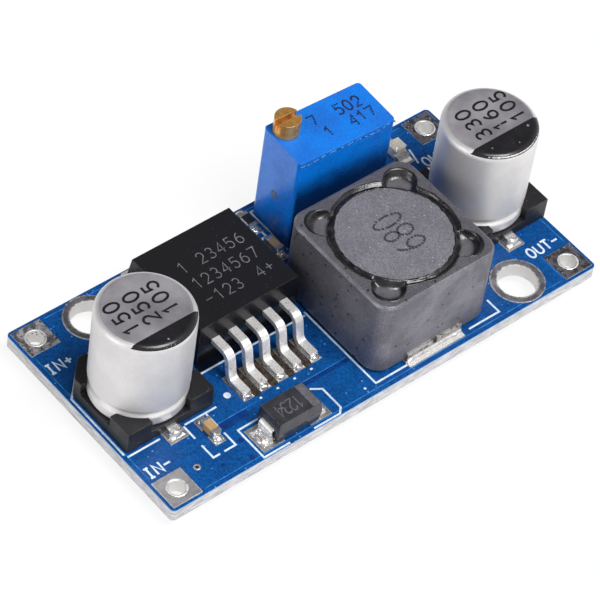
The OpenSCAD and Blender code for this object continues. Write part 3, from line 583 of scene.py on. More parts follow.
def build_facing(tree: bpy.types.NodeTree) -> None:
    """Which way the surface faces in the frame: Up is 1 on a top, and Level is the height of its place.

    Args:
        tree: The group.
    """
    graph, given, result = sockets(tree, {"Low": 0.5, "High": 0.9}, ["Up", "Level"])
    normal = graph.node("ShaderNodeNewGeometry").outputs["Normal"]
    rise = graph.node("ShaderNodeSeparateXYZ", Vector=normal).outputs["Z"]
    past = graph.math("SUBTRACT", rise, given["Low"])
    full = graph.math("SUBTRACT", given["High"], given["Low"])
    share = graph.math("DIVIDE", past, full)
    graph.feed(result["Up"], graph.math("ADD", share, 0.0, clamp=True))
    graph.feed(result["Level"], graph.node("ShaderNodeSeparateXYZ", Vector=given["Place"]).outputs["Z"])


BUILDERS: dict[Effect, Callable[[bpy.types.NodeTree], None]] = {
    Effect.GRAIN: build_grain,
    Effect.STAINS: build_stains,
    Effect.SPECKS: build_specks,
    Effect.STREAKS: build_streaks,
    Effect.EDGE_WEAR_AND_HIGHLIGHT: build_edge_wear_and_highlight,
    Effect.FACING: build_facing,
}


# ---- Finishes ----


@dataclass(frozen=True)
class Finish:
    """A finish with grain, stains, specks, soft edges, and lighter edges that are partly rubbed wear and
    partly painted highlight. Sizes are in millimetres.
    """

    name: str
    colour: str
    shade: str
    metal: float = 0.0
    roughness: float = 0.5
    roughness_swing: float = 0.12
    stain_size: float = 1.6
    stain_cover: float = 0.5
    stain_softness: float = 0.2
    grain_size: float = 0.08
    grain_contrast: float = 0.5
    relief: float = 0.004
    speck: str = ""
    speck_size: float = 0.25
    speck_density: float = 0.15
    edge: str = ""
    edge_radius: float = 0.06
    wear_and_highlight_radius: float = 0.08
    edge_gain: float = 5.0
    shine: float = 0.5
    coat: float = 0.0

    def material(self) -> bpy.types.Material:
        """The finish's material, built when it is first used.

        Returns:
            The material.
        """
        name = f"{self.name}_finish"
        made = bpy.data.materials.get(name)
        if made is None:
            made = bpy.data.materials.new(name)
            made.use_nodes = True
            made.node_tree.nodes.clear()
            graph = Graph(made.node_tree)
            shader = graph.node("ShaderNodeBsdfPrincipled", Metallic=self.metal, Coat_Weight=self.coat)
            shader.inputs["Specular IOR Level"].default_value = self.shine
            self.wire(graph, shader)
            graph.node("ShaderNodeOutputMaterial", Surface=shader.outputs[0])
            made.diffuse_color = linear(self.colour)
        return made

    def wire(self, graph: Graph, shader: bpy.types.Node) -> None:
        """Feeds the shader's colour, roughness and normal.

        Args:
            graph: The material's nodes.
            shader: Its Principled BSDF.
        """
        place = graph.place()
        stains = graph.group(
            Effect.STAINS, Place=place, Scale=1 / (self.stain_size * MM),
            Coverage=self.stain_cover, Softness=self.stain_softness,
        )["Mask"]
        grain = graph.group(
            Effect.GRAIN, Place=place, Scale=1 / (self.grain_size * MM), Contrast=self.grain_contrast
        )
        colour = graph.mix(stains, linear(self.colour), linear(self.shade))
        colour = self.tint(graph, place, graph.mix(1.0, colour, self.grey(graph, grain["Value"]), "MULTIPLY"))
        swing = graph.math("MULTIPLY", stains, self.roughness_swing)
        rough = graph.math("ADD", self.polish(graph, place), swing)
        if self.speck:
            specks = graph.group(
                Effect.SPECKS, Place=place, Scale=1 / (self.speck_size * MM), Density=self.speck_density
            )["Mask"]
            colour = graph.mix(specks, colour, linear(self.speck))
        # Lighter edges in the edge colour: partly rubbed wear, partly painted highlight.
        if self.edge:
            lit_worn_edges = graph.group(
                Effect.EDGE_WEAR_AND_HIGHLIGHT, Place=place, Radius=self.wear_and_highlight_radius * MM, Gain=self.edge_gain
            )["Mask"]
            colour = graph.mix(lit_worn_edges, colour, linear(self.edge))
        graph.feed(shader.inputs["Base Color"], colour)
        graph.feed(shader.inputs["Roughness"], graph.math("ADD", rough, 0.0, clamp=True))
        soft = graph.node("ShaderNodeBevel", {"samples": 4}, Radius=self.edge_radius * MM).outputs[0]
        bump = graph.node(
            "ShaderNodeBump", Strength=1.0, Distance=self.relief * MM,
            Height=self.height(graph, place, grain["Height"]), Normal=soft,
        )
        graph.feed(shader.inputs["Normal"], bump.outputs[0])

    def grey(self, graph: Graph, value: Socket) -> Socket:
        """A grey that lies round white, from grain that lies round one half.

        Args:
            graph: The material's nodes.
            value: The grain.

        Returns:
            The grey.
        """
        swing, darkest = 0.7, 0.65
        shade = graph.math("ADD", graph.math("MULTIPLY", value, swing), darkest)
        return graph.node("ShaderNodeCombineColor", Red=shade, Green=shade, Blue=shade).outputs[0]

    def tint(self, graph: Graph, place: Socket, colour: Socket) -> Socket:
        """Changes the base colour over the surface. A plain finish leaves it."""
        return colour

    def polish(self, graph: Graph, place: Socket) -> object:
        """Roughness before the stains. A plain finish has one."""
        return self.roughness

    def height(self, graph: Graph, place: Socket, grain: Socket) -> Socket:
        """Height of the bumps. A plain finish has its grain."""
        return grain


@dataclass(frozen=True)
class MaskedLaminate(Finish):
    """Glossy solder mask on the board's faces, and cut glass laminate on its sides."""

    laminate: str = "#cfced0"
    laminate_shade: str = "#a8a6a8"
    laminate_roughness: float = 0.62
    layer_scale: float = 9000.0
    layer_squeeze: float = 0.12
    lip: str = "#7fa9d6"
    lip_low: float = 1.04
    lip_high: float = 1.14

    def tint(self, graph: Graph, place: Socket, colour: Socket) -> Socket:
        """Laminate with fine layers on the sides, with a pale lip of mask along its top.

        Args:
            graph: The material's nodes.
            place: Position on the piece.
            colour: The colour so far.

        Returns:
            The new colour.
        """
        parts = graph.node("ShaderNodeSeparateXYZ", Vector=place).outputs
        x, y = (graph.math("MULTIPLY", parts[axis], self.layer_squeeze) for axis in "XY")
        flat = graph.node("ShaderNodeCombineXYZ", X=x, Y=y, Z=parts["Z"]).outputs[0]
        layers = graph.remap(graph.noise(flat, self.layer_scale), low=0.35, high=0.65)
        side = graph.mix(layers, linear(self.laminate_shade), linear(self.laminate))
        lip = graph.remap(parts["Z"], self.lip_low * MM, self.lip_high * MM)
        side = graph.mix(lip, side, linear(self.lip))
        return graph.mix(self.face(graph, place), side, colour)

    def polish(self, graph: Graph, place: Socket) -> object:
        """The mask is glossy, and the cut laminate is dull.

        Args:
            graph: The material's nodes.
            place: Position on the piece.

        Returns:
            The roughness.
        """
        fall = graph.math("MULTIPLY", self.face(graph, place), self.laminate_roughness - self.roughness)
        return graph.math("SUBTRACT", self.laminate_roughness, fall)

    def face(self, graph: Graph, place: Socket) -> Socket:
        """1 on the board's two faces and 0 on its sides.

        Args:
            graph: The material's nodes.
            place: Position on the piece.

        Returns:
            The mask.
        """
        up = graph.group(Effect.FACING, Place=place, Low=0.4, High=0.6)["Up"]
        down = graph.group(Effect.FACING, Place=place, Low=-0.4, High=-0.6)["Up"]
        return graph.math("MAXIMUM", up, down)


@dataclass(frozen=True)
class PlatedLand(Finish):
    """Levelled tin: stained and grainy on the flat, clean down the bore and round the rim."""

    bore: str = "#e8e6e3"

    def tint(self, graph: Graph, place: Socket, colour: Socket) -> Socket:
        """Clean tin wherever the plating doesn't lie flat.

        Args:
            graph: The material's nodes.
            place: Position on the piece.
            colour: The colour so far.

        Returns:
            The new colour.
        """
        up = graph.group(Effect.FACING, Place=place, Low=0.5, High=0.8)["Up"]
        return graph.mix(up, linear(self.bore), colour)


@dataclass(frozen=True)
class DrawnCan(Finish):
    """Satin drawn aluminium: fine streaks up its side, and a darker flat top in broad soft patches."""

    top_tint: str = "#b4b1b7"
    top_shade: str = "#8e8b91"
    cloud_scale: float = 260.0
    streak_scale: float = 5000.0
    streak_length: float = 14.0

    def tint(self, graph: Graph, place: Socket, colour: Socket) -> Socket:
        """Darkens the flat top.

        Args:
            graph: The material's nodes.
            place: Position on the piece.
            colour: The colour so far.

        Returns:
            The new colour.
        """
        up = graph.group(Effect.FACING, Place=place, Low=0.9, High=0.995)["Up"]
        cloud = graph.group(
            Effect.STAINS, Place=place, Scale=self.cloud_scale, Coverage=0.5, Softness=0.3
        )["Mask"]
        return graph.mix(up, colour, graph.mix(cloud, linear(self.top_shade), linear(self.top_tint)))

    def height(self, graph: Graph, place: Socket, grain: Socket) -> Socket:
        """Streaks from the drawing die, with the grain.

        Args:
            graph: The material's nodes.
            place: Position on the piece.
            grain: Height of the grain.

        Returns:
            The height.
        """
        drawn = graph.group(
            Effect.STREAKS, Place=place, Scale=self.streak_scale, Length=self.streak_length
        )["Value"]
        streak_share, grain_share = 0.7, 0.5
        grainy = graph.math("MULTIPLY", grain, grain_share)
        return graph.math("ADD", graph.math("MULTIPLY", drawn, streak_share), grainy)


@dataclass(frozen=True)
class AdhesiveWithPaintedReflection(Finish):
    """Black adhesive, paler and smoother low in the corner bays: the paler tone is a painted reflection."""

    bay_reflection: str = "#747278"
    bay_reflection_low: float = 8.26
    bay_reflection_high: float = 8.42
    bay_reflection_share: float = 0.85

    def tint(self, graph: Graph, place: Socket, colour: Socket) -> Socket:
        """Pales the adhesive low in the bays, as a painted reflection.

        Args:
            graph: The material's nodes.
            place: Position on the piece.
            colour: The colour so far.

        Returns:
            The new colour.
        """
        level = graph.group(Effect.FACING, Place=place)["Level"]
        # Painted reflection: the lower the adhesive lies, the paler it is, as in the bottoms of the bays.
        share = graph.remap(level, self.bay_reflection_low * MM, self.bay_reflection_high * MM, self.bay_reflection_share, 0.0)
        return graph.mix(share, colour, linear(self.bay_reflection))


@dataclass(frozen=True)
class MouldedPackage(Finish):
    """Moulding compound: a matt top and glossier sides, as the mould leaves them."""

    side_roughness: float = 0.2

    def polish(self, graph: Graph, place: Socket) -> object:
        """Matt where it faces up.

        Args:
            graph: The material's nodes.
            place: Position on the piece.

        Returns:
            The roughness.
        """
        up = graph.group(Effect.FACING, Place=place, Low=0.9, High=0.99)["Up"]
        spread = graph.math("MULTIPLY", up, self.roughness - self.side_roughness)
        return graph.math("ADD", spread, self.side_roughness)


@dataclass(frozen=True)
class HousingWithPaintedShade(MouldedPackage):
    """Bright housing plastic with painted shade: it darkens down the face beside the inductor and near the
    board.
    """

    painted_shade: str = "#04173f"
    unshaded_height: float = 10.5
    full_shade_height: float = 7.2
    foot_height: float = 5.2
    foot_low: float = 1.4
    gap_share: float = 0.9
    foot_share: float = 0.6
    drift_scale: float = 900.0
    drift: float = 1.2

    def tint(self, graph: Graph, place: Socket, colour: Socket) -> Socket:
        """Painted shade in the narrow gap beside the inductor, and a little at the foot of the other faces.

        Args:
            graph: The material's nodes.
            place: Position on the piece.
            colour: The colour so far.

        Returns:
            The new colour.
        """
        normal = graph.node("ShaderNodeNewGeometry").outputs["Normal"]
        ahead = graph.math("MULTIPLY", graph.node("ShaderNodeSeparateXYZ", Vector=normal).outputs["Y"], -1.0)
        level = graph.group(Effect.FACING, Place=place)["Level"]
        drift = graph.math("MULTIPLY", graph.noise(place, self.drift_scale), self.drift * MM)
        uneven = graph.math("ADD", level, drift)
        # Painted shade: darkest low on the front face beside the inductor, and near the board on every face.
        gap = graph.remap(uneven, self.full_shade_height * MM, self.unshaded_height * MM, self.gap_share, 0.0)
        foot = graph.remap(uneven, self.foot_low * MM, self.foot_height * MM, self.foot_share, 0.0)
        front = graph.remap(ahead, low=0.5, high=0.9)
        share = graph.math("MAXIMUM", graph.math("MULTIPLY", front, gap), foot)
        return graph.mix(share, colour, linear(self.painted_shade))


MASK = MaskedLaminate(
    "solder_mask", "#0b5093", "#084382", roughness=0.26, roughness_swing=0.08, stain_size=4.0,
    stain_softness=0.35, grain_size=0.16, grain_contrast=4.5, relief=0.006, edge_radius=0.04, speck="#5c98d6",
    speck_size=0.3, speck_density=0.05, shine=0.25,
)
MASK_OVER_COPPER = Finish(
    "solder_mask_over_copper", "#3f86cf", "#2568b2", roughness=0.28, stain_size=0.5, grain_size=0.2,
    grain_contrast=3.0, relief=0.004, edge_radius=0.01, shine=0.3,
)
MASK_OVER_GAP = Finish(
    "solder_mask_over_laminate", "#093f86", "#06326f", roughness=0.26, grain_size=0.2, grain_contrast=4.0,
    relief=0.006, edge_radius=0.01, shine=0.25,
)
# Near-black painted shadow under the front edge of the regulator's package.
PAINTED_PACKAGE_SHADOW = Finish(
    "painted_shadow_under_package", "#051328", "#030b1a", roughness=0.3, grain_size=0.2, grain_contrast=3.0,
    relief=0.004, edge_radius=0.01, shine=0.2,
)
LEGEND = Finish(
    "legend_ink", "#dfe9f4", "#b9cfe6", roughness=0.55, stain_size=0.35, grain_size=0.06, grain_contrast=0.5,
    edge_radius=0.01,
)
TIN_DULL = PlatedLand(
    "tinned_land_dull", "#6a686d", "#353338", metal=0.4, roughness=0.36, stain_size=0.55, stain_cover=0.5,
    stain_softness=0.1, grain_size=0.14, grain_contrast=5.0, relief=0.02, speck="#dcdbdc", speck_size=0.18,
    speck_density=0.12, edge="#c9c8c8", edge_radius=0.08, wear_and_highlight_radius=0.1, edge_gain=2.0,
)
TIN_PITTED = PlatedLand(
    "tinned_land_pitted", "#a9a7ab", "#59575b", metal=0.4, roughness=0.36, stain_size=0.5, stain_cover=0.5,
    stain_softness=0.12, grain_size=0.12, grain_contrast=7.0, relief=0.025, speck="#1e1c20", speck_size=0.3,
    speck_density=0.5, edge="#c9c8c8", edge_radius=0.08, wear_and_highlight_radius=0.1, edge_gain=2.0,
)
TIN_CLEAN = PlatedLand(
    "tinned_land_clean", "#aba9ab", "#8f8d8f", metal=0.6, roughness=0.36, stain_size=1.1, stain_cover=0.45,
    grain_size=0.11, grain_contrast=1.3, relief=0.01, edge="#f6f5f3", edge_radius=0.1, wear_and_highlight_radius=0.16,
)
TIN_BRIGHT = Finish(
    "tinned_rim", "#efedeb", "#b9b7b6", metal=0.5, roughness=0.32, stain_size=0.4, stain_cover=0.4,
    stain_softness=0.12, grain_size=0.14, grain_contrast=1.6, relief=0.01, edge_radius=0.03,
)
TIN_LAND = PlatedLand(
    "tinned_land_grainy", "#b7b3ad", "#8b867f", metal=0.7, roughness=0.36, stain_size=0.5, stain_cover=0.5,
    grain_size=0.09, grain_contrast=2.2, relief=0.012, edge="#e4e2de", edge_radius=0.03, wear_and_highlight_radius=0.12,
)
RING = PlatedLand(
    "plated_ring", "#88868c", "#615f65", metal=0.6, roughness=0.34, stain_size=0.8, stain_cover=0.5,
    stain_softness=0.2, grain_size=0.12, grain_contrast=1.8, relief=0.01, edge="#f6f5f3", edge_radius=0.1,
    wear_and_highlight_radius=0.2, edge_gain=8.0, bore="#d9d7d5",
)
SOLDER = Finish(
    "solder", "#e9e7e5", "#b5b2af", metal=0.85, roughness=0.22, roughness_swing=0.14, stain_size=0.5,
    stain_cover=0.4, grain_size=0.9, grain_contrast=0.8, relief=0.003, edge_radius=0.06,
)
LEAD = Finish(
    "tinned_lead", "#f8f6f4", "#aaa8a9", metal=0.55, roughness=0.3, stain_size=0.5, stain_cover=0.3,
    stain_softness=0.1, grain_size=0.12, grain_contrast=2.0, relief=0.006, edge="#ffffff", edge_radius=0.05,
    wear_and_highlight_radius=0.06, edge_gain=3.0,
)
TERMINAL = Finish(
    "inductor_terminal_tin", "#c2beb8", "#6b655d", metal=0.75, roughness=0.36, stain_size=0.5,
    stain_cover=0.42, stain_softness=0.1, grain_size=0.12, grain_contrast=1.8, relief=0.015, edge="#eae7e2",
    edge_radius=0.05, edge_gain=4.0,
)
CAN = DrawnCan(
    "drawn_aluminium", "#e0dedd", "#d6d4d4", metal=0.6, roughness=0.44, roughness_swing=0.06, stain_size=4.0,
    grain_size=0.12, grain_contrast=0.3, relief=0.0016, edge_radius=0.12,
)
BASE = Finish(
    "capacitor_base_plastic", "#1f1d20", "#171619", roughness=0.42, stain_size=2.0, grain_size=0.14,
    grain_contrast=3.0, relief=0.014, speck="#58565d", speck_size=0.22, speck_density=0.1, edge="#6a686e",
    edge_radius=0.14, wear_and_highlight_radius=0.1, edge_gain=2.0, shine=0.4,
)
CAN_INK = Finish(
    "can_ink", "#232125", "#171619", roughness=0.16, stain_size=1.0, grain_contrast=0.6, speck="#8d8b90",
    speck_size=0.45, speck_density=0.06, edge_radius=0.01,
)
PACKAGE = MouldedPackage(
    "regulator_package", "#131317", "#0e0e12", roughness=0.5, side_roughness=0.14, stain_size=2.4,
    grain_size=0.16, grain_contrast=3.5, relief=0.006, speck="#34343a", speck_size=0.2, speck_density=0.06,
    edge="#6d6c72", edge_radius=0.05, edge_gain=2.0, shine=0.28,
)
PACKAGE_INK = Finish(
    "package_ink", "#7b7a80", "#5a595f", roughness=0.6, stain_size=0.3, grain_size=0.08, grain_contrast=2.4,
    edge_radius=0.01,
)
SHIELD = Finish(
    "ferrite_shield", "#85838a", "#706e75", metal=0.75, roughness=0.42, roughness_swing=0.12, stain_size=2.8,
    grain_size=0.08, grain_contrast=5.0, relief=0.01, speck="#29282c", speck_size=0.45, speck_density=0.07,
    edge="#b3b1b8", edge_radius=0.12, wear_and_highlight_radius=0.1, edge_gain=2.5,
)
CORE = Finish(
    "ferrite_core", "#828088", "#74727a", metal=0.3, roughness=0.5, stain_size=2.5, grain_size=0.08,
    grain_contrast=6.5, relief=0.012, speck="#b5b3ba", speck_size=0.26, speck_density=0.08,
    edge="#aeacb4", edge_radius=0.08,
)
GLUE = AdhesiveWithPaintedReflection(
    "black_adhesive", "#131215", "#232225", roughness=0.16, roughness_swing=0.16, stain_size=0.9,
    grain_size=0.3, grain_contrast=1.5, relief=0.03, edge_radius=0.02, shine=0.6, coat=0.2,
)
CORE_INK = Finish(
    "core_ink", "#2f2e33", "#3d3b41", roughness=0.6, stain_size=0.3, grain_contrast=1.2, edge_radius=0.01
)
# Its finish paints shade beside the inductor and near the board.
HOUSING = HousingWithPaintedShade(
    "trimmer_housing_plastic", "#0a78e0", "#086bd0", roughness=0.4, side_roughness=0.2, stain_size=3.0,
    grain_size=0.12, grain_contrast=2.4, relief=0.005, edge="#4a98ee", edge_radius=0.09, edge_gain=2.0,
    shine=0.45,
)
HOUSING_FLASH = Finish(
    "trimmer_flash_plastic", "#6aa5e6", "#0a3a7c", roughness=0.35, stain_size=0.2, stain_cover=0.5,
    stain_softness=0.06, grain_size=0.12, grain_contrast=3.0, relief=0.01, edge_radius=0.01, shine=0.4,
)
HOUSING_INK = Finish(
    "trimmer_ink", "#0b2458", "#081a44", roughness=0.5, grain_contrast=0.8, edge_radius=0.01
)
GATE_SCAR = Finish(
    "trimmer_gate_scar", "#39486a", "#5c76a8", roughness=0.5, stain_size=0.25, stain_softness=0.1,
    grain_size=0.1, grain_contrast=3.0, edge_radius=0.01,
)
BRASS = Finish(
    "brass", "#e8b064", "#bb833c", metal=0.72, roughness=0.3, roughness_swing=0.2, stain_size=0.6,
    stain_cover=0.45, grain_size=0.1, grain_contrast=1.3, relief=0.008, edge="#f3d294", edge_radius=0.06,
    wear_and_highlight_radius=0.1,
)
DIODE = MouldedPackage(
    "diode_package", "#34343a", "#232328", roughness=0.45, side_roughness=0.14, stain_size=1.2,
    grain_size=0.11, grain_contrast=1.3, relief=0.006, edge="#77767b", edge_radius=0.06, edge_gain=3.0,
)
DIODE_INK = Finish(
    "diode_ink", "#66656b", "#545359", roughness=0.55, stain_size=0.3, grain_contrast=1.2, edge_radius=0.01
)
FLUX = Finish(
    "flux_residue", "#4a3c30", "#261f1a", roughness=0.14, stain_size=0.35, stain_softness=0.1, grain_size=0.2,
    grain_contrast=1.8, relief=0.035, edge_radius=0.02,
)
CERAMIC_TAN = Finish(
    "capacitor_ceramic", "#a58c6d", "#b8935c", roughness=0.4, stain_size=0.5, grain_size=0.08,
    grain_contrast=0.9, relief=0.005, edge_radius=0.05,
)
CERAMIC_GREY = Finish(
    "feedback_ceramic", "#8a7a66", "#9a8162", roughness=0.4, stain_size=0.5, grain_size=0.08,
    grain_contrast=0.9, relief=0.005, edge_radius=0.05,
)
CERAMIC_WHITE = Finish(
    "white_ceramic", "#dddbd6", "#cdcac3", roughness=0.55, grain_size=0.08, grain_contrast=0.5,
    edge_radius=0.03,
)
FILM = Finish("resistor_film", "#232227", "#1a191d", roughness=0.3, grain_contrast=0.6, edge_radius=0.03)
END_CAP = Finish(
    "chip_end_tin", "#d5d3d0", "#a8a5a2", metal=0.9, roughness=0.3, stain_size=0.3, grain_size=0.1,
    grain_contrast=1.2, relief=0.015, edge_radius=0.06,
)
LENS = Finish(
    "lens_resin", "#ddd7ca", "#c9c1b3", roughness=0.16, stain_size=0.5, grain_contrast=0.3, edge_radius=0.08,
    coat=0.5,
)
WINDING = Finish(
    "enamelled_copper", "#a3562a", "#8a4521", metal=0.7, roughness=0.3, grain_contrast=0.6, edge_radius=0.03
)
RUBBER = Finish("seal_rubber", "#232225", "#1a191c", roughness=0.7, grain_contrast=0.8, edge_radius=0.03)
NYLON = Finish("wheel_nylon", "#e2dece", "#d3cebb", roughness=0.45, grain_contrast=0.4, edge_radius=0.02)
SPRING = Finish(
    "spring_bronze", "#c8a769", "#a98849", metal=0.9, roughness=0.3, grain_contrast=0.6, edge_radius=0.02
)
POTTING = Finish(
    "potting_resin", "#e3e0d4", "#cfcaba", roughness=0.4, grain_contrast=0.5, relief=0.01, edge_radius=0.03
)


# ---- Lettering ----

FIGURE_WIDTH = 0.6
GLYPHS: dict[str, list[Stroke]] = {
    "0": [arc(0.3, 0.5, 0.3, 0.5, 90, 450, 20)],
    "1": [[(0.1, 0.78), (0.34, 1.0), (0.34, 0.0)]],
    "2": [arc(0.3, 0.7, 0.28, 0.3, 165, -35) + [(0.02, 0.0), (0.6, 0.0)]],
    "3": [arc(0.28, 0.75, 0.25, 0.25, 150, -90) + arc(0.28, 0.26, 0.3, 0.26, 90, -150)[1:]],
    "4": [[(0.46, 0.0), (0.46, 1.0), (0.0, 0.3), (0.62, 0.3)]],
    "5": [[(0.55, 1.0), (0.12, 1.0), (0.07, 0.56)] + arc(0.28, 0.32, 0.3, 0.32, 125, -150)],
    "6": [arc(0.3, 0.3, 0.28, 0.3, 0, 360, 16), arc(0.58, 0.3, 0.56, 0.7, 178, 105, 8)],
    "7": [[(0.0, 1.0), (0.6, 1.0), (0.22, 0.0)]],
    "8": [arc(0.3, 0.76, 0.24, 0.24, 0, 360, 16), arc(0.3, 0.26, 0.3, 0.26, 0, 360, 16)],
    "+": [[(0.0, 0.5), (0.6, 0.5)], [(0.3, 0.2), (0.3, 0.8)]],
    "-": [[(0.0, 0.5), (0.6, 0.5)]],
    "I": [[(0.1, 1.0), (0.5, 1.0)], [(0.3, 1.0), (0.3, 0.0)], [(0.1, 0.0), (0.5, 0.0)]],
    "N": [[(0.0, 0.0), (0.0, 1.0), (0.6, 0.0), (0.6, 1.0)]],
    "O": [arc(0.3, 0.5, 0.3, 0.5, 90, 450, 20)],
    "U": [[(0.0, 1.0)] + arc(0.3, 0.3, 0.3, 0.3, 180, 360) + [(0.6, 1.0)]],
    "T": [[(0.0, 1.0), (0.6, 1.0)], [(0.3, 1.0), (0.3, 0.0)]],
    " ": [],
}


class Print(Enum):
    """How a mark is printed: in whole lines, or in the dots of an ink jet."""

    LINES = "lines"
    DOTS = "dots"


@dataclass(frozen=True)
class Lettering:
    """A way of printing plain figures: their height, line width, spacing and style."""

    height: float
    stroke: float
    spacing: float = 0.3
    stretch: float = 1.0
    style: Print = Print.LINES

    def draw(self, builder: Builder, plane: Plane, text: str, start: Point) -> None:
        """Adds a row to a mesh.

        Args:
            builder: The mesh.
            plane: The surface that it is printed on.
            text: The row's characters.
            start: The row's lower left corner on the plane.
        """
        wide = self.height * self.stretch
        step = (FIGURE_WIDTH + self.spacing) * wide
        for index, character in enumerate(text):
            for layer, stroke in enumerate(GLYPHS[character]):
                path = [(start[0] + index * step + x * wide, start[1] + y * self.height) for x, y in stroke]
                if self.style is Print.DOTS:
                    self.dot(builder, plane, path)
                else:
                    builder.ribbon(plane, path, self.stroke, INK_TOP + STROKE_LIFT * layer)

    def dot(self, builder: Builder, plane: Plane, path: Stroke) -> None:
        """Adds uneven dots along a stroke.

        Args:
            builder: The mesh.
            plane: The surface that they are printed on.
            path: The stroke.
        """
        dot_pitch = 1.1 * self.stroke
        stray = 0.18 * self.stroke
        for (ax, ay), (bx, by) in zip(path, path[1:]):
            count = max(1, round(math.dist((ax, ay), (bx, by)) / dot_pitch))
            for i in range(count):
                x, y = ax + (bx - ax) * i / count, ay + (by - ay) * i / count
                centre = (x + stray * wobble(x * 9, y * 9), y + stray * wobble(x * 9, y * 9, 5.0))
                lift = INK_TOP + DOT_LIFT * abs(wobble(x * 31, y * 31))
                builder.disc(plane, centre, self.stroke / 2, lift, 6)


# ---- Sub-assemblies ----


@dataclass
class Assembly:
    """A sub-assembly of the module, with the frame's CAD nodes by name."""

    nodes: dict[str, bpy.types.Object]

    def dress(self, finishes: dict[str, Finish]) -> None:
        """Gives CAD nodes their finishes.

        Args:
            finishes: The finish of each node by name.
        """
        for name, finish in finishes.items():
            made = self.nodes[name]
            made.data.materials.clear()
            made.data.materials.append(finish.material())
            LOG.info("%s dressed in %s", name, finish.name)


def board_top() -> Plane:
    """The board's top face."""
    return Plane(Vector((0, 0, Span.of("circuit_board").high.z)))


def lead_middles() -> list[float]:
    """X of the middle of each of the regulator's leads.

    Returns:
        The places, from the input end on.
    """
    row = Span.of("regulator_leads")
    pitch = (row.size.x - LEAD_WIDTH) / (LEAD_COUNT - 1)
    return [row.low.x + LEAD_WIDTH / 2 + i * pitch for i in range(LEAD_COUNT)]


def gap_middles() -> list[float]:
    """X of the middle of each gap between the regulator's leads."""
    places = lead_middles()
    return [(a + b) / 2 for a, b in zip(places, places[1:])]


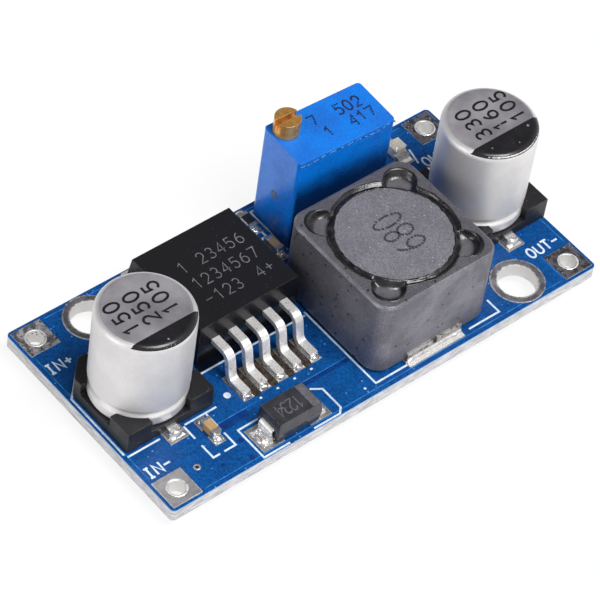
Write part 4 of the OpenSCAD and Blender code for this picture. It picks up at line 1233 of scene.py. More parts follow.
@dataclass
class Board(Assembly):
    """The circuit board: mask, lands and rings, copper under the mask, vias and flux."""

    # Copper edges along the board's sides.
    edge_inset: float = 0.42
    corner_clearance: float = 3.4
    edge_width: float = 0.07
    edge_lift: float = 0.006
    # Rims of the terminal holes.
    terminal_bore: float = 0.7
    rim_width: float = 0.2
    # The open via, and the filled ones with the section of their dimples as radius shares and heights.
    open_via: Point = (-17.65, -8.19)
    open_via_radius: float = 0.3
    open_via_bore: float = 0.16
    bore_lift: float = 0.008
    filled_via_radius: float = 0.2
    filled_vias: tuple[Point, ...] = (
        (-12.9, -9.3), (-13.3, -8.1), (-14.6, -9.4), (-15.9, -9.2), (-13.6, -9.9), (-16.9, -6.9),
        (-15.1, -5.0), (-0.2, -7.6), (-2.6, -4.4), (-2.1, -5.2), (-1.9, -3.3), (12.9, -9.6),
    )
    dimple_swing: float = 0.05
    dimple_turn: float = 2.1
    dimple_section: tuple[Point, ...] = ((1.0, 0.0), (0.8, 0.012), (0.5, 0.004), (0.0, 0.002))
    # The slit and the copper edge between the input chip capacitor and the diode.
    gap_lift: float = 0.004
    input_slit_width: float = 0.75
    input_slit_ahead: float = 0.2
    input_edge_behind: float = 0.23
    input_start: float = 0.55
    input_slit_under_diode: float = 0.25
    input_edge_under_diode: float = 1.45
    # The slit and the copper edge in front of the regulator's leads.
    switch_slit_width: float = 0.4
    switch_slit_ahead: float = 1.7
    switch_edge_ahead: float = 1.46
    switch_slit_start: float = 0.85
    switch_slit_past_leads: float = 1.8
    switch_edge_past_leads: float = 1.7
    # The copper edge beside the negative output's land.
    pad_edge_aside: float = 0.1
    pad_edge_behind: float = 0.3
    pad_edge_ahead: float = 0.2
    # The painted shadow under the front of the regulator's package, a near-black strip.
    package_strip_ahead: float = 0.43
    package_strip_under: float = 0.35
    package_strip_inset: float = 0.1
    package_strip_lift: float = 0.005
    # Strips of flux between the regulator's lands.
    flux_width: float = 0.62
    flux_length: float = 3.0
    flux_reach: float = 0.5
    flux_film: float = 0.006
    flux_swell: float = 0.03
    flux_ripple: float = 0.035
    flux_waver: float = 0.05

    def build(self) -> None:
        """Dresses the board and adds what is etched, plated and spilt on it."""
        self.dress({
            "circuit_board": MASK,
            "fixing_hole_rings": RING,
            "input_positive_pad": TIN_PITTED,
            "input_negative_pad": TIN_CLEAN,
            "output_positive_pad": TIN_DULL,
            "output_negative_pad": TIN_DULL,
            "trimmer_pin_lands": TIN_CLEAN,
            "component_lands": TIN_LAND,
        })
        self.hole_rims()
        self.copper_edges()
        self.copper_gaps()
        self.vias()
        self.flux()

    def hole_rims(self) -> None:
        """Bright tin that stands round each terminal hole."""
        bore, outer = self.terminal_bore, self.terminal_bore + self.rim_width
        outer_slope, inner_slope = 0.04, 0.06
        outer_foot, outer_crown, inner_crown, inner_foot = -0.01, 0.02, 0.03, -0.02
        section = [
            (outer, outer_foot), (outer - outer_slope, outer_crown),
            (bore + inner_slope, inner_crown), (bore, inner_foot),
        ]
        rims = Builder()
        for end in ("input", "output"):
            for pole in ("positive", "negative"):
                land = Span.of(f"{end}_{pole}_pad")
                plane = Plane(Vector((land.centre.x, land.centre.y, land.high.z)))
                rims.spin(plane, (0, 0), section, 32)
        rims.piece("terminal_hole_rims", TIN_BRIGHT, "tinned_plating", smooth=True)

    def copper_edges(self) -> None:
        """Raised edges of the copper areas under the mask."""
        board = Span.of("circuit_board")
        chip, diode = Span.of("input_chip_capacitor"), Span.of("diode_body")
        leads, pad = Span.of("regulator_leads"), Span.of("output_negative_pad")
        left, right = board.low.x + self.edge_inset, board.high.x - self.edge_inset
        front, back = board.low.y + self.edge_inset, board.high.y - self.edge_inset
        clear = self.corner_clearance
        input_edge = chip.centre.y + self.input_edge_behind
        input_start, input_end = chip.high.x + self.input_start, diode.low.x + self.input_edge_under_diode
        switch_edge = leads.low.y - self.switch_edge_ahead
        switch_end = leads.high.x + self.switch_edge_past_leads
        pad_edge = pad.low.x - self.pad_edge_aside
        edges = Builder()
        for path in (
            [(left, board.high.y - clear), (left, board.low.y + clear)],
            [(board.low.x + clear, front), (board.high.x - clear, front)],
            [(board.low.x + clear, back), (board.high.x - clear, back)],
            [(right, board.high.y - clear), (right, board.low.y + clear)],
            [(input_start, input_edge), (input_end, input_edge)],
            [(diode.high.x, switch_edge), (switch_end, switch_edge)],
            [(pad_edge, pad.high.y + self.pad_edge_behind), (pad_edge, pad.low.y + self.pad_edge_ahead)],
        ):
            edges.ribbon(board_top(), path, self.edge_width, self.edge_lift)
        edges.piece("copper_edges", MASK_OVER_COPPER, "solder_mask")

    def copper_gaps(self) -> None:
        """Darker mask where the laminate under it carries no copper, and a painted shadow under the front of
        the regulator's package.
        """
        chip, diode = Span.of("input_chip_capacitor"), Span.of("diode_body")
        leads, body = Span.of("regulator_leads"), Span.of("regulator_body")
        input_gap, switch_gap = chip.centre.y - self.input_slit_ahead, leads.low.y - self.switch_slit_ahead
        input_start, input_end = chip.high.x + self.input_start, diode.low.x + self.input_slit_under_diode
        switch_start = diode.high.x + self.switch_slit_start
        switch_end = leads.high.x + self.switch_slit_past_leads
        gaps = Builder()
        for path, width in (
            ([(input_start, input_gap), (input_end, input_gap)], self.input_slit_width),
            ([(switch_start, switch_gap), (switch_end, switch_gap)], self.switch_slit_width),
        ):
            gaps.ribbon(board_top(), path, width, self.gap_lift)
        gaps.piece("copper_gaps", MASK_OVER_GAP, "solder_mask")
        # Painted shadow: a near-black strip from just in front of the package to under its front edge.
        front, back = body.low.y - self.package_strip_ahead, body.low.y + self.package_strip_under
        middle, inset = (front + back) / 2, self.package_strip_inset
        strip = [(body.low.x + inset, middle), (body.high.x - inset, middle)]
        under = Builder()
        under.ribbon(board_top(), strip, back - front, self.package_strip_lift)
        under.piece("package_front_painted_shadow", PAINTED_PACKAGE_SHADOW, "solder_mask")

    def vias(self) -> None:
        """One open via, and the filled ones that dimple the mask."""
        radius, bore = self.open_via_radius, self.open_via_bore
        ring = Builder()
        slope, crown, sunk = 0.01, 0.02, 0.006
        section = [(radius, 0.0), (radius - slope, crown), (bore + slope, crown), (bore - slope, sunk)]
        ring.spin(board_top(), self.open_via, section, 20)
        ring.piece("open_via", TIN_CLEAN, "tinned_plating", smooth=True)
        # The bore is a black disc: painted shade standing in for the hole.
        hole = Builder()
        hole.disc(board_top(), self.open_via, bore, self.bore_lift)
        hole.piece("open_via_bore", FILM, "solder_mask")
        dimples = Builder()
        for i, place in enumerate(self.filled_vias):
            radius = self.filled_via_radius + self.dimple_swing * math.sin(i * self.dimple_turn)
            section = [(radius * share, height) for share, height in self.dimple_section]
            dimples.spin(board_top(), place, section, 16)
        dimples.piece("filled_vias", MASK_OVER_GAP, "solder_mask", smooth=True)

    def flux(self) -> None:
        """Brown flux on the bare laminate between the regulator's lands."""
        film = Builder()
        for seed, middle in enumerate(gap_middles()):
            self.flux_strip(film, middle, seed)
        film.piece("flux_residue", FLUX, smooth=True)

    def flux_strip(self, film: Builder, middle: float, seed: int) -> None:
        """Adds one strip of flux.

        Args:
            film: The mesh.
            middle: X of the strip's middle.
            seed: Which noise shapes it.
        """
        front = Span.of("regulator_leads").low.y - self.flux_reach
        columns, rows = 10, 24

        def place(i: int, j: int) -> Vector:
            """Point of the strip, swollen along its middle.

            Args:
                i: Which step across it.
                j: Which step along it.

            Returns:
                The point.
            """
            u, v = i / columns - 0.5, j / rows
            width = self.flux_width + self.flux_waver * wobble(v * 4, seed)
            swell = self.flux_swell * math.cos(math.pi * u) + self.flux_ripple * wobble(u * 4, v * 7, seed)
            lift = self.flux_film + max(0.0, swell)
            return board_top().at(middle + u * width, front + v * self.flux_length, lift)

        film.grid(place, columns + 1, rows + 1)


@dataclass(frozen=True)
class Margins:
    """How far out from a component's box its printed frame lies, on each side."""

    left: float = 0.0
    right: float = 0.0
    front: float = 0.0
    back: float = 0.0

    def around(self, node: str) -> tuple[float, float, float, float]:
        """The frame round a node: its left, right, front and back."""
        box = Span.of(node)
        return box.low.x - self.left, box.high.x + self.right, box.low.y - self.front, box.high.y + self.back


@dataclass
class Legend:
    """White lines that frame the components, and the polarity beside each terminal."""

    line: float = 0.17
    capacitor: Margins = Margins(left=0.27, right=0.15, front=0.3, back=0.2)
    capacitor_cut: float = 1.9
    capacitor_opening: float = 1.2
    chip: Margins = Margins(left=1.0, right=0.45, front=1.67)
    diode: Margins = Margins(left=1.52, right=2.2, front=0.26, back=0.3)
    diode_cut: float = 0.45
    regulator: Margins = Margins(left=0.05, right=0.55, front=0.5)
    inductor: Margins = Margins(left=0.13, right=0.8, front=0.41)
    trimmer: Margins = Margins(left=-0.17, right=0.3, back=0.1)
    tick_reach: float = 0.82
    pin_dot: Point = (-0.82, 0.85)
    pin_dot_radius: float = 0.3
    small_dot: Point = (4.97, 0.53)
    small_dot_radius: float = 0.111
    letters: Lettering = Lettering(0.98, 0.18, 0.26)

    def build(self) -> None:
        """Prints the lines, the dots and the letters."""
        ink = Builder()
        for lines in (
            self.capacitor_lines(), self.chip_lines(), self.diode_lines(), self.regulator_lines(),
            self.inductor_lines(), self.trimmer_lines(),
        ):
            for path in lines:
                ink.ribbon(board_top(), path, self.line)
        for node, shift, radius in (
            ("regulator_leads", self.pin_dot, self.pin_dot_radius),
            ("diode_body", self.small_dot, self.small_dot_radius),
        ):
            box = Span.of(node)
            corner = box.low.x if shift[0] < 0 else box.high.x
            ink.disc(board_top(), (corner + shift[0], box.low.y + shift[1]), radius)
        ink.piece("legend_lines", LEGEND)
        self.terminal_letters()

    def capacitor_lines(self) -> list[Stroke]:
        """Frame of the input capacitor, open at its lead.

        Returns:
            The lines.
        """
        left, right, front, back = self.capacitor.around("input_capacitor_base")
        middle = Span.of("input_capacitor_base").centre.x
        cut, opening = self.capacitor_cut, self.capacitor_opening
        side_start, front_start, back_end = 0.3, 0.1, 2.15
        return [
            [(left, front + side_start), (left, back - cut), (left + cut, back), (right - back_end, back)],
            [(left + front_start, front), (middle - opening, front)],
            [(middle + opening, front), (right, front)],
        ]

    def chip_lines(self) -> list[Stroke]:
        """Brackets at the input chip capacitor.

        Returns:
            The lines.
        """
        left, right, front, back = self.chip.around("input_chip_capacitor")
        frame_front = self.capacitor.around("input_capacitor_base")[2]
        left_foot, right_foot = 0.65, -1.12
        upper_start, upper_end, lower_start = 0.08, 0.4, 1.43
        lines = []
        for x, foot in ((left, left_foot), (right, right_foot)):
            lines.append([(x, frame_front - upper_start), (x, back - upper_end)])
            lines.append([(x, front + lower_start), (x, front), (x + foot, front)])
        return lines

    def diode_lines(self) -> list[Stroke]:
        """Frame of the diode, open along its middle, with cut corners at its cathode.

        Returns:
            The lines.
        """
        left, right, front, back = self.diode.around("diode_body")
        cut, longer_cut = self.diode_cut, 0.1
        left_back, left_front = 1.97, 2.57
        right_back, right_front = 0.85, 3.05
        return [
            [(left + left_back, back), (left, back), (left, front), (left + left_front, front)],
            [
                (right - right_back, back), (right, back - cut - longer_cut), (right, front + cut),
                (right - cut, front), (right - right_front, front),
            ],
        ]

    def regulator_lines(self) -> list[Stroke]:
        """Line in front of the regulator's package, and a tick at each gap between its lands.

        Returns:
            The lines.
        """
        left, right, front, _ = self.regulator.around("regulator_body")
        ticks = Span.of("regulator_leads").low.y - self.tick_reach
        tick_left, tick_right, tick_fall = 0.14, 0.08, 0.01
        lines = [[(left, front), (right, front)]]
        for x in gap_middles():
            lines.append([(x - tick_left, ticks), (x + tick_right, ticks - tick_fall)])
        return lines

    def inductor_lines(self) -> list[Stroke]:
        """Frame of the inductor, open at its front terminal.

        Returns:
            The lines.
        """
        left, right, front, back = self.inductor.around("inductor_shield")
        terminal = Span.of("inductor_terminals")
        left_start, right_end = 3.65, 1.46
        before, after = terminal.low.x - 0.1, terminal.high.x + 0.8
        return [
            [(left, back - left_start), (left, front), (before, front)],
            [(after, front), (right, front), (right, front + right_end)],
        ]

    def trimmer_lines(self) -> list[Stroke]:
        """Frame behind the trimmer, and the bracket before the positive output.

        Returns:
            The lines.
        """
        left, right, front, back = self.trimmer.around("trimmer_housing")
        pad = Span.of("output_positive_pad")
        frame_start, beside = 0.5, left - 0.58
        beside_start, beside_end = 0.75, 0.55
        bracket_back = (pad.low.x - 1.3, pad.low.y + 0.28)
        bracket_front = (pad.low.x - 1.65, pad.low.y - 1.32)
        return [
            [(left, front + frame_start), (left, back), (right, back)],
            [(beside, front + beside_start), (beside, back + beside_end)],
            [bracket_back, bracket_front],
        ]

    def terminal_letters(self) -> None:
        """Polarity beside each terminal, on the side of its land that faces the board's middle."""
        shifts = {
            "IN+": ("input_positive_pad", 0.2, -2.26), "IN-": ("input_negative_pad", 0.25, 0.42),
            "OUT-": ("output_negative_pad", -0.8, 0.48), "OUT+": ("output_positive_pad", -1.25, -2.05),
        }
        ink = Builder()
        for text, (pad, across, along) in shifts.items():
            land = Span.of(pad)
            edge = land.low.y if along < 0 else land.high.y
            self.letters.draw(ink, board_top(), text, (land.low.x + across, edge + along))
        ink.piece("terminal_letters", LEGEND)


@dataclass
class Capacitor(Assembly):
    """One electrolytic capacitor: can, base, leads, and the stripe and figures on its top."""

    side: str
    rows: tuple[str, str, str]
    chord: float
    first_row: Point
    shoulder: float = 0.6
    stripe_inset: float = 0.09
    stripe_lift: float = 0.01
    stripe_ragged: float = 0.004
    row_pitch: float = 1.85
    figures: Lettering = Lettering(1.3, 0.21, 0.36)

    def build(self) -> None:
        """Dresses the capacitor and prints its top."""
        self.dress({
            f"{self.side}_capacitor_can": CAN,
            f"{self.side}_capacitor_base": BASE,
            f"{self.side}_capacitor_leads": LEAD,
        })
        self.stripe()
        ink = Builder()
        for index, text in enumerate(self.rows):
            start = (self.first_row[0], self.first_row[1] - index * self.row_pitch)
            self.figures.draw(ink, self.top, text, start)
        ink.piece(f"{self.side}_capacitor_figures", CAN_INK)

    @property
    def can(self) -> Span:
        """The can's box."""
        return Span.of(f"{self.side}_capacitor_can")

    @property
    def top(self) -> Plane:
        """The can's top, with its origin on the can's axis. Figures read along +Y."""
        origin = Vector((self.can.centre.x, self.can.centre.y, self.can.high.z))
        return Plane(origin, Vector((0, 1, 0)), Vector((-1, 0, 0)))

    def drop(self, radius: float) -> float:
        """How far the can's shoulder lies below its top at a radius."""
        past = max(0.0, radius - (self.can.size.x / 2 - self.shoulder))
        return self.shoulder - math.sqrt(max(0.0, self.shoulder**2 - past**2))

    def stripe(self) -> None:
        """The black segment that marks the negative side, wrapped over the shoulder's edge."""
        middle = self.top.origin
        outer = self.can.size.x / 2 - self.stripe_inset
        half = math.acos(min(1.0, self.chord / outer))
        steps, rings = 48, 14

        def place(i: int, j: int) -> Vector:
            """Point between the chord and the shoulder.

            Args:
                i: Which step along the stripe.
                j: Which step outward.

            Returns:
                The point.
            """
            turn = half * (2 * i / steps - 1)
            angle = turn - math.pi / 2
            inner = self.chord / max(0.02, math.cos(turn))
            r = inner + (outer - inner) * j / rings
            ragged = self.stripe_ragged * wobble(angle * 8, j * 0.2, self.chord) if j == rings else 0.0
            height = self.stripe_lift - self.drop(r) + ragged
            return middle + Vector((r * math.cos(angle), r * math.sin(angle), height))

        ink = Builder()
        ink.grid(place, steps + 1, rings + 1)
        ink.piece(f"{self.side}_capacitor_stripe", CAN_INK, smooth=True)


@dataclass
class Regulator(Assembly):
    """The switching regulator: package, tab, five leads and plain figures."""

    figures: Lettering = Lettering(1.08, 0.085, 0.33, 0.93)
    rows: tuple[tuple[str, Point], ...] = (
        ("1 23456", (2.6, 5.4)), ("1234567", (2.6, 3.55)), ("-123", (2.4, 1.75)), ("4+", (7.4, 1.75)),
    )

    def build(self) -> None:
        """Dresses the regulator and prints its top."""
        self.dress({
            "regulator_body": PACKAGE,
            "regulator_tab": LEAD,
            "regulator_leads": LEAD,
            "regulator_solder": SOLDER,
        })
        body = Span.of("regulator_body")
        plane = Plane(Vector((body.low.x, body.low.y, body.high.z)))
        ink = Builder()
        for text, start in self.rows:
            self.figures.draw(ink, plane, text, start)
        ink.piece("regulator_figures", PACKAGE_INK)


@dataclass
class Inductor(Assembly):
    """The shielded inductor: ferrite shield and core, black adhesive between them, and terminals."""

    # The shield's opening: its bore, and the radius and the offset of its corner bays.
    bore: float = 5.35
    bay: float = 1.35
    bay_offset: float = 3.9
    # How far past the bore a bay reaches its full dip.
    bay_depth: float = 1.2
    # How the adhesive sags in a bay and in the ring.
    bay_dip: float = 0.62
    ring_dip: float = 0.12
    sag_flatness: int = 4
    sag_steepness: float = 1.5
    # How far it has crept over the edges, and how thick it is there.
    creep: float = 0.1
    core_creep: float = 0.12
    bay_spread: float = 1.6
    crept_film: float = 0.012
    meniscus: float = 0.05
    crease: float = 0.035
    ripple: float = 0.02
    figures: Lettering = Lettering(2.7, 0.25, 0.22, 0.64, Print.DOTS)
    figures_start: Point = (-2.05, -1.7)

    def build(self) -> None:
        """Dresses the inductor, lays its adhesive and prints its core."""
        self.dress({
            "inductor_shield": SHIELD,
            "inductor_core": CORE,
            "inductor_winding": WINDING,
            "inductor_terminals": TERMINAL,
            "inductor_solder": SOLDER,
        })
        self.adhesive()
        core = Span.of("inductor_core")
        origin = Vector((core.centre.x, core.centre.y, core.high.z))
        plane = Plane(origin, Vector((0, 1, 0)), Vector((-1, 0, 0)))
        ink = Builder()
        self.figures.draw(ink, plane, "680", self.figures_start)
        ink.piece("inductor_figures", CORE_INK)

    def reach(self, angle: float) -> float:
        """Distance from the middle to the shield's opening.

        Args:
            angle: Direction in radians.

        Returns:
            The distance in millimetres.
        """
        off = (angle % (math.pi / 2)) - math.pi / 4
        distance = self.bay_offset * math.sqrt(2)
        inside = self.bay**2 - (distance * math.sin(off)) ** 2
        return max(self.bore, distance * math.cos(off) + math.sqrt(inside)) if inside > 0 else self.bore

    def adhesive(self) -> None:
        """Glossy adhesive that has crept up the core and the shield, and sags between them."""
        shield, core = Span.of("inductor_shield"), Span.of("inductor_core")
        middle, flange = shield.centre, core.size.x / 2
        steps, rings = 288, 22

        def crept(angle: float, r: float, edge: bool, on_core: bool) -> float:
            """Height of the film that has crept onto the core or the shield."""
            level = (core.high.z if on_core else shield.high.z) + self.crept_film
            return level if edge else level + self.meniscus + self.ripple * wobble(angle * 14, r * 2, 8.0)

        def sagging(angle: float, r: float, across: float, bay_share: float) -> float:
            """Height of the adhesive between the core and the shield.

            Args:
                angle: Direction from the middle.
                r: Distance from the middle.
                across: Share of the way from the core to the shield.
                bay_share: 1 in the middle of a bay and 0 in the ring.

            Returns:
                The height.
            """
            sag = (1 - (2 * across - 1) ** self.sag_flatness) ** self.sag_steepness
            dip = self.ring_dip + (self.bay_dip - self.ring_dip) * bay_share
            rim = core.high.z + (shield.high.z - core.high.z) * across + self.meniscus
            fold = self.crease * (1 - bay_share) * math.sin(across * 9 + 2 * wobble(angle * 5, 0.3))
            return rim - dip * sag + fold + self.ripple * wobble(angle * 11, r * 3, 2.0)

        def place(i: int, j: int) -> Vector:
            """Point of the adhesive's surface.

            Args:
                i: Which step round the core.
                j: Which step outward.

            Returns:
                The point.
            """
            angle = 2 * math.pi * i / steps
            x, y = math.cos(angle), math.sin(angle)
            reach = self.reach(angle)
            inner = flange - self.core_creep - self.creep * wobble(x * 9, y * 9)
            bay_share = min(1.0, (reach - self.bore) / self.bay_depth)
            outer = reach + self.creep * (1 + self.bay_spread * bay_share + wobble(x * 6, y * 6, 4.0))
            r = inner + (outer - inner) * j / rings
            across = (r - flange) / (reach - flange)
            if 0 < across < 1:
                level = sagging(angle, r, across, bay_share)
            else:
                level = crept(angle, r, j in (0, rings), across <= 0)
            return Vector((middle.x + r * x, middle.y + r * y, level))

        glue = Builder()
        glue.grid(place, steps, rings + 1, True)
        made = glue.piece("adhesive_fillet", GLUE, "adhesive", smooth=True)
        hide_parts("inductor_adhesive")


@dataclass
class Trimmer(Assembly):
    """The trimmer: housing, screw, mechanism, pins, moulding flash and printed figures."""

    turn: float = -2.5
    length: float = 9.53
    width: float = 4.83
    # Moulding flash: its height, how deep it lies, how both vary, how far it stands out and its grid.
    flash: float = 0.2
    flash_depth: float = 0.3
    flash_drift: float = 0.35
    flash_least: float = 0.55
    flash_swing: float = 0.7
    flash_thickness: float = 0.035
    flash_cover: float = 0.4
    flash_film: float = 0.002
    flash_step: float = 0.12
    # Scar of the moulding gate, with its section as radius shares and heights.
    gate_aside: float = 0.05
    gate_place: Point = (0.0, -5.7)
    gate_radius: float = 0.46
    gate_section: tuple[Point, ...] = ((0.0, -0.02), (0.43, -0.03), (0.83, -0.02), (1.0, 0.003))
    figures: Lettering = Lettering(1.1, 0.2, 0.3, 0.9, Print.DOTS)
    rows: tuple[tuple[str, Point], ...] = (
        ("502", (1.2, 0.3)), ("7", (-1.3, 0.3)), ("417", (1.5, -1.25)), ("1", (-0.9, -1.25)),
    )

    def build(self) -> None:
        """Dresses the trimmer, prints its top and adds its moulding marks."""
        self.dress({
            "trimmer_housing": HOUSING,
            "trimmer_screw": BRASS,
            "trimmer_seal_ring": RUBBER,
            "trimmer_wheel": NYLON,
            "trimmer_wiper": SPRING,
            "trimmer_element": CERAMIC_WHITE,
            "trimmer_track": FILM,
            "trimmer_pins": LEAD,
            "trimmer_potting": POTTING,
            "trimmer_solder": SOLDER,
        })
        ink = Builder()
        for text, start in self.rows:
            self.figures.draw(ink, self.top, text, start)
        ink.piece("trimmer_figures", HOUSING_INK)
        x, y = self.length / 2, self.width / 2
        self.flash_line("trimmer_flash_1", (-x, -y), (x, -y), 0.0)
        self.flash_line("trimmer_flash_2", (x, -y), (x, y), 1.0)
        self.gate_mark()

    @property
    def top(self) -> Plane:
        """The housing's top, turned with the housing.

        Returns:
            The plane, with its origin in the middle of the top.
        """
        housing, a = Span.of("trimmer_housing"), math.radians(self.turn)
        origin = Vector((housing.centre.x, housing.centre.y, housing.high.z))
        return Plane(origin, Vector((math.cos(a), math.sin(a), 0)), Vector((-math.sin(a), math.cos(a), 0)))

    def flash_line(self, name: str, start: Point, end: Point, seed: float) -> None:
        """Ragged moulding flash under one side of the top edge.

        Args:
            name: Name of the piece.
            start: The side's first corner on the top.
            end: The side's last corner on the top.
            seed: Which noise shapes it.
        """
        side = Vector(end) - Vector(start)
        way = side.normalized()
        count, rows = round(side.length / self.flash_step), 4

        def place(i: int, j: int) -> Vector:
            """Point of the flash, which bulges out of the side.

            Args:
                i: Which step along the side.
                j: Which step down the side.

            Returns:
                The point.
            """
            along = side.length * i / count
            depth = self.flash_depth + self.flash_drift * wobble(along * 0.5, seed, 3.0)
            tall = self.flash * (self.flash_least + self.flash_swing * abs(wobble(along * 3.1, seed)))
            thick = self.flash_thickness * max(0.0, self.flash_cover + wobble(along * 4.3, seed, 9.0))
            bulge = thick * math.sin(math.pi * j / rows) + self.flash_film
            u = start[0] + way.x * along + way.y * bulge
            v = start[1] + way.y * along - way.x * bulge
            return self.top.at(u, v, -depth - tall * (j / rows - 0.5))

        rag = Builder()
        rag.grid(place, count + 1, rows + 1)
        rag.piece(name, HOUSING_FLASH, "blue_housing", smooth=True)

    def gate_mark(self) -> None:
        """The dull scar that the moulding gate leaves on the end face."""
        face = Plane(self.top.at(-self.length / 2, self.gate_aside), self.top.upward, Vector((0, 0, 1)))
        section = [(self.gate_radius * share, height) for share, height in self.gate_section]
        mark = Builder()
        mark.spin(face, self.gate_place, section, 18)
        mark.piece("trimmer_gate_mark", GATE_SCAR, smooth=True)


@dataclass
class Diode(Assembly):
    """The diode: package, folded leads, cathode band and plain figures."""

    band: float = 0.72
    band_lift: float = 0.008
    inset: float = 0.16
    figures: Lettering = Lettering(1.15, 0.11, 0.05, 0.78)
    figures_start: Point = (-0.85, -0.5)

    def build(self) -> None:
        """Dresses the diode and prints its top."""
        self.dress({"diode_body": DIODE, "diode_leads": LEAD, "diode_solder": SOLDER})
        body = Span.of("diode_body")
        plane = Plane(Vector((body.centre.x, body.centre.y, body.high.z)))
        x = body.size.x / 2 - self.inset - self.band / 2
        half = body.size.y / 2 - self.inset
        band = Builder()
        band.ribbon(plane, [(x, -half), (x, half)], self.band, self.band_lift)
        band.piece("diode_band", DIODE_INK)
        turned = Plane(plane.origin, -plane.across, -plane.upward)
        ink = Builder()
        self.figures.draw(ink, turned, "1234", self.figures_start)
        ink.piece("diode_figures", DIODE_INK)


@dataclass
class ChipParts(Assembly):
    """Chip capacitors, chip resistors and the indicator."""

    dome_height: float = 0.22
    dome_cover: float = 0.98
    dome_film: float = 0.002

    def build(self) -> None:
        """Dresses the chip parts and gives the indicator its dome."""
        self.dress({
            "input_chip_capacitor": CERAMIC_TAN,
            "feedback_chip_capacitor": CERAMIC_GREY,
            "feedback_resistor": CERAMIC_WHITE,
            "indicator_resistor": CERAMIC_WHITE,
            "resistor_films": FILM,
            "chip_ends": END_CAP,
            "chip_solder": SOLDER,
            "indicator_base": CERAMIC_WHITE,
            "indicator_lens": LENS,
            "indicator_ends": END_CAP,
        })
        lens = Span.of("indicator_lens")
        steps = 16

        def place(i: int, j: int) -> Vector:
            """Point of the dome over the lens.

            Args:
                i: Which step across it.
                j: Which step along it.

            Returns:
                The point.
            """
            u, v = 2 * i / steps - 1, 2 * j / steps - 1
            height = self.dome_height * (1 - u**4) * (1 - v**4) + self.dome_film
            half = lens.size * self.dome_cover / 2
            return Vector((lens.centre.x + u * half.x, lens.centre.y + v * half.y, lens.high.z + height))

        dome = Builder()
        dome.grid(place, steps + 1, steps + 1)
        dome.piece("indicator_dome", LENS, "clear_lens", smooth=True)


@dataclass
class SolderBeads(Assembly):
    """The uneven solder on the joints that can be seen."""

    rough: float = 0.14
    capacitor_joint: Radii = (0.62, 0.5, 0.42)
    capacitor_spill: Radii = (0.45, 0.35, 0.2)
    chip_joint: Point = (0.42, 0.36)
    chip_reach: float = 0.5
    diode_joint: Radii = (0.5, 0.72, 0.34)
    diode_climb: Radii = (0.35, 0.4, 0.5)
    lead_toe: Radii = (0.44, 0.3, 0.3)
    toe_reach: float = 0.12
    terminal_joint: Point = (0.24, 0.24)
    beads: Builder = field(default_factory=Builder)

    def build(self) -> None:
        """Dresses the capacitors' solder and adds the beads."""
        self.dress({"capacitor_solder": SOLDER})
        self.capacitor_beads()
        self.chip_beads()
        self.diode_beads()
        self.regulator_beads()
        self.inductor_beads()
        self.beads.piece("solder_beads", SOLDER, "solder", smooth=True)

    @property
    def land_top(self) -> float:
        """Height of the lands."""
        return Span.of("component_lands").high.z

    def bead(self, x: float, y: float, lift: float, radii: Radii, seed: float) -> None:
        """Adds one bead.

        Args:
            x: X of its middle.
            y: Y of its middle.
            lift: Height of its middle over the lands.
            radii: Its three half lengths.
            seed: Which noise shapes it.
        """
        self.beads.lump(Vector((x, y, self.land_top + lift)), Vector(radii), seed, self.rough)

    def capacitor_beads(self) -> None:
        """Two beads on each capacitor lead."""
        inset, lift, joint_aside = 0.05, 0.12, 0.05
        spill_aside, spill_reach = 0.35, 0.25
        for side in ("input", "output"):
            leads = Span.of(f"{side}_capacitor_leads")
            for end in (-1, 1):
                y = leads.centre.y + end * (leads.size.y / 2 - inset)
                spill_y = y + end * spill_reach
                self.bead(leads.centre.x + joint_aside, y, lift, self.capacitor_joint, y)
                self.bead(leads.centre.x - spill_aside, spill_y, 0.0, self.capacitor_spill, y + 3)

    def chip_beads(self) -> None:
        """A bead at each end of the chip parts."""
        heights = {
            "input_chip_capacitor": 0.34, "feedback_chip_capacitor": 0.34,
            "feedback_resistor": 0.24, "indicator_resistor": 0.24,
        }
        for name, height in heights.items():
            chip = Span.of(name)
            for end in (-1, 1):
                y = chip.centre.y + end * (chip.size.y / 2 + self.chip_reach)
                self.bead(chip.centre.x, y, 0.0, (*self.chip_joint, height), y * 3)

    def diode_beads(self) -> None:
        """Two beads at each of the diode's leads."""
        leads = Span.of("diode_leads")
        joint_reach, joint_aside = 0.28, 0.2
        climb_inset, climb_aside = 0.2, 0.5
        for end in (-1, 1):
            x = leads.centre.x + end * (leads.size.x / 2 + joint_reach)
            climb_x = x - end * climb_inset
            self.bead(x, leads.centre.y - joint_aside, 0.0, self.diode_joint, x)
            self.bead(climb_x, leads.centre.y + climb_aside, 0.0, self.diode_climb, x + 2)

    def regulator_beads(self) -> None:
        """A bead at the toe of each of the regulator's leads."""
        toe = Span.of("regulator_leads").low.y
        for x in lead_middles():
            self.bead(x, toe - self.toe_reach, 0.0, self.lead_toe, x * 2.7)

    def inductor_beads(self) -> None:
        """A long bead at each end of the inductor's front terminal."""
        terminal = Span.of("inductor_terminals")
        left, left_half = terminal.low.x + 0.55, 0.75
        right, right_half = terminal.high.x - 0.6, 0.5
        y, lift = terminal.low.y + 0.02, 0.06
        for x, half in ((left, left_half), (right, right_half)):
            self.bead(x, y, lift, (half, *self.terminal_joint), x)


# ---- Studio ----


@dataclass(frozen=True)
class Lamp:
    """A square soft lamp: its place and side in millimetres, and its power in watts."""

    name: str
    place: Vector
    side: float
    power: float

    def build(self) -> None:
        """Hangs the lamp, facing the module."""
        light = bpy.data.lights.new(self.name, "AREA")
        light.size = self.side * MM
        light.energy = self.power
        made = bpy.data.objects.new(self.name, light)
        made.location = self.place * MM
        made.rotation_euler = (-self.place).to_track_quat("-Z", "Y").to_euler()
        bpy.context.scene.collection.objects.link(made)


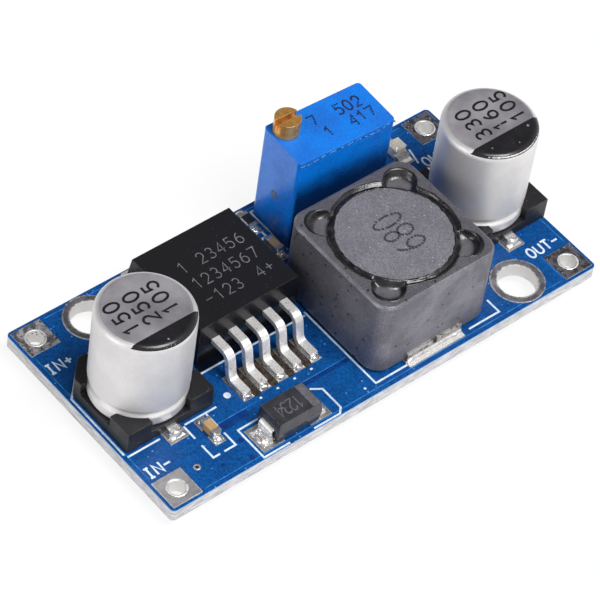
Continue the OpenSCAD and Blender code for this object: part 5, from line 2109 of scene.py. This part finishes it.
@dataclass
class Studio:
    """White floor, soft lamps and the camera."""

    # The camera.
    azimuth: float = 46.56
    elevation: float = 48.82
    roll: float = 9.29
    distance: float = 276.34
    aim: Vector = field(default_factory=lambda: Vector((-0.51, 0.26, 1.2)))
    lens: float = 209.43
    # The floor, and how plain its white is to the camera, to mirrors and through glass.
    floor_side: float = 3000.0
    floor_gap: float = 0.01
    seen_white: float = 0.88
    mirrored_white: float = 0.85
    through_white: float = 0.8
    # The sky: where low turns into high, which way is ahead, and where behind and ahead are full.
    sky_low: float = 0.02
    sky_high: float = 0.45
    ahead_way: Point = (0.3, -0.85)
    full_behind: float = -0.5
    full_ahead: float = 0.8
    low_ahead: Colour = WHITE
    low_behind: Colour = (0.85, 0.85, 0.86, 1.0)
    high_ahead: Colour = (0.6, 0.6, 0.6, 1.0)
    high_behind: Colour = (0.07, 0.07, 0.075, 1.0)
    lamps: tuple[Lamp, ...] = (
        Lamp("key_lamp", Vector((50, -210, 460)), 240, 2.3),
        Lamp("left_lamp", Vector((-430, 60, 230)), 240, 0.7),
    )

    def build(self) -> None:
        """Makes the floor, the world, the lamps and the camera."""
        bpy.context.scene.view_settings.view_transform = "Standard"
        self.floor()
        self.world()
        for lamp in self.lamps:
            lamp.build()
        self.camera()

    def floor(self) -> None:
        """A white floor that shows white and keeps a soft shadow."""
        low = Span.of("trimmer_pins").low.z - self.floor_gap
        half = self.floor_side / 2
        corners = [Vector((x * half, y * half, low)) for x, y in ((-1, -1), (1, -1), (1, 1), (-1, 1))]
        mesh = bpy.data.meshes.new("floor")
        mesh.from_pydata([c * MM for c in corners], [], [(0, 1, 2, 3)])
        mesh.materials.append(self.floor_finish())
        made = bpy.data.objects.new("floor", mesh)
        bpy.context.scene.collection.objects.link(made)
        LOG.info("floor at %.2f mm", low)

    def floor_finish(self) -> bpy.types.Material:
        """Matt white for the light, and mostly plain white to the camera and to mirrors and glass.

        Returns:
            The material.
        """
        material = bpy.data.materials.new("white_floor")
        material.use_nodes = True
        material.node_tree.nodes.clear()
        graph = Graph(material.node_tree)
        grain = graph.noise(graph.place(), scale=900.0)
        speckle = graph.remap(grain, low=0.3, high=0.7, to_low=0.97, to_high=1.0)
        tone = graph.node("ShaderNodeCombineColor", Red=speckle, Green=speckle, Blue=speckle).outputs[0]
        matt = graph.node("ShaderNodeBsdfDiffuse", Color=tone)
        glow = graph.node("ShaderNodeEmission", Color=WHITE, Strength=1.0)
        path = graph.node("ShaderNodeLightPath").outputs
        seen = graph.math("MULTIPLY", path["Is Camera Ray"], self.seen_white)
        mirrored = graph.math("MULTIPLY", path["Is Glossy Ray"], self.mirrored_white)
        through = graph.math("MULTIPLY", path["Is Transmission Ray"], self.through_white)
        mixed = graph.node("ShaderNodeMixShader")
        graph.feed(mixed.inputs[0], graph.math("MAXIMUM", graph.math("MAXIMUM", seen, mirrored), through))
        graph.feed(mixed.inputs[1], matt.outputs[0])
        graph.feed(mixed.inputs[2], glow.outputs[0])
        graph.node("ShaderNodeOutputMaterial", Surface=mixed.outputs[0])
        return material

    def world(self) -> None:
        """Soft light all round: bright low down, greyer overhead and behind, white to the camera."""
        world = bpy.data.worlds.new("studio")
        bpy.context.scene.world = world
        world.use_nodes = True
        world.node_tree.nodes.clear()
        graph = Graph(world.node_tree)
        way = graph.node("ShaderNodeTexCoord").outputs["Generated"]
        parts = graph.node("ShaderNodeSeparateXYZ", Vector=way).outputs
        height = graph.remap(parts["Z"], self.sky_low, self.sky_high)
        along = graph.math("MULTIPLY", parts["Y"], self.ahead_way[1])
        across = graph.math("MULTIPLY", parts["X"], self.ahead_way[0])
        toward = graph.remap(graph.math("ADD", along, across), self.full_behind, self.full_ahead)
        low = graph.mix(toward, self.low_behind, self.low_ahead)
        high = graph.mix(toward, self.high_behind, self.high_ahead)
        path = graph.node("ShaderNodeLightPath").outputs
        tone = graph.mix(path["Is Camera Ray"], graph.mix(height, low, high), WHITE)
        background = graph.node("ShaderNodeBackground", Color=tone)
        graph.node("ShaderNodeOutputWorld", Surface=background.outputs[0])

    def camera(self) -> None:
        """A long lens from the front left, high up, with a slight roll."""
        a, e, r = (math.radians(x) for x in (self.azimuth, self.elevation, self.roll))
        forward = Vector((math.sin(a) * math.cos(e), math.cos(a) * math.cos(e), -math.sin(e)))
        level = Vector((math.cos(a), -math.sin(a), 0))
        above = level.cross(forward)
        right = level * math.cos(r) + above * math.sin(r)
        up = above * math.cos(r) - level * math.sin(r)
        data = bpy.data.cameras.new("camera")
        data.lens = self.lens
        data.clip_start = 0.01
        made = bpy.data.objects.new("camera", data)
        turn = Matrix((right, up, -forward)).transposed().to_4x4()
        made.matrix_world = Matrix.Translation((self.aim - forward * self.distance) * MM) @ turn
        bpy.context.scene.collection.objects.link(made)
        bpy.context.scene.camera = made


def main() -> None:
    """Builds every sub-assembly and the studio."""
    logging.basicConfig(level=logging.INFO, format="%(name)s: %(message)s")
    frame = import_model()
    nodes = frame["nodes"]
    parts = (
        Board(nodes),
        Legend(),
        Capacitor(nodes, "input", ("150", "250", "105"), 2.22, (-1.33, 1.47)),
        Capacitor(nodes, "output", ("330", "160", "105"), 1.58, (-1.15, 0.82)),
        Regulator(nodes),
        Inductor(nodes),
        Trimmer(nodes),
        Diode(nodes),
        ChipParts(nodes),
        SolderBeads(nodes),
        Studio(),
    )
    for part in parts:
        part.build()
        LOG.info("%s done", type(part).__name__)


if __name__ == "__main__":
    main()
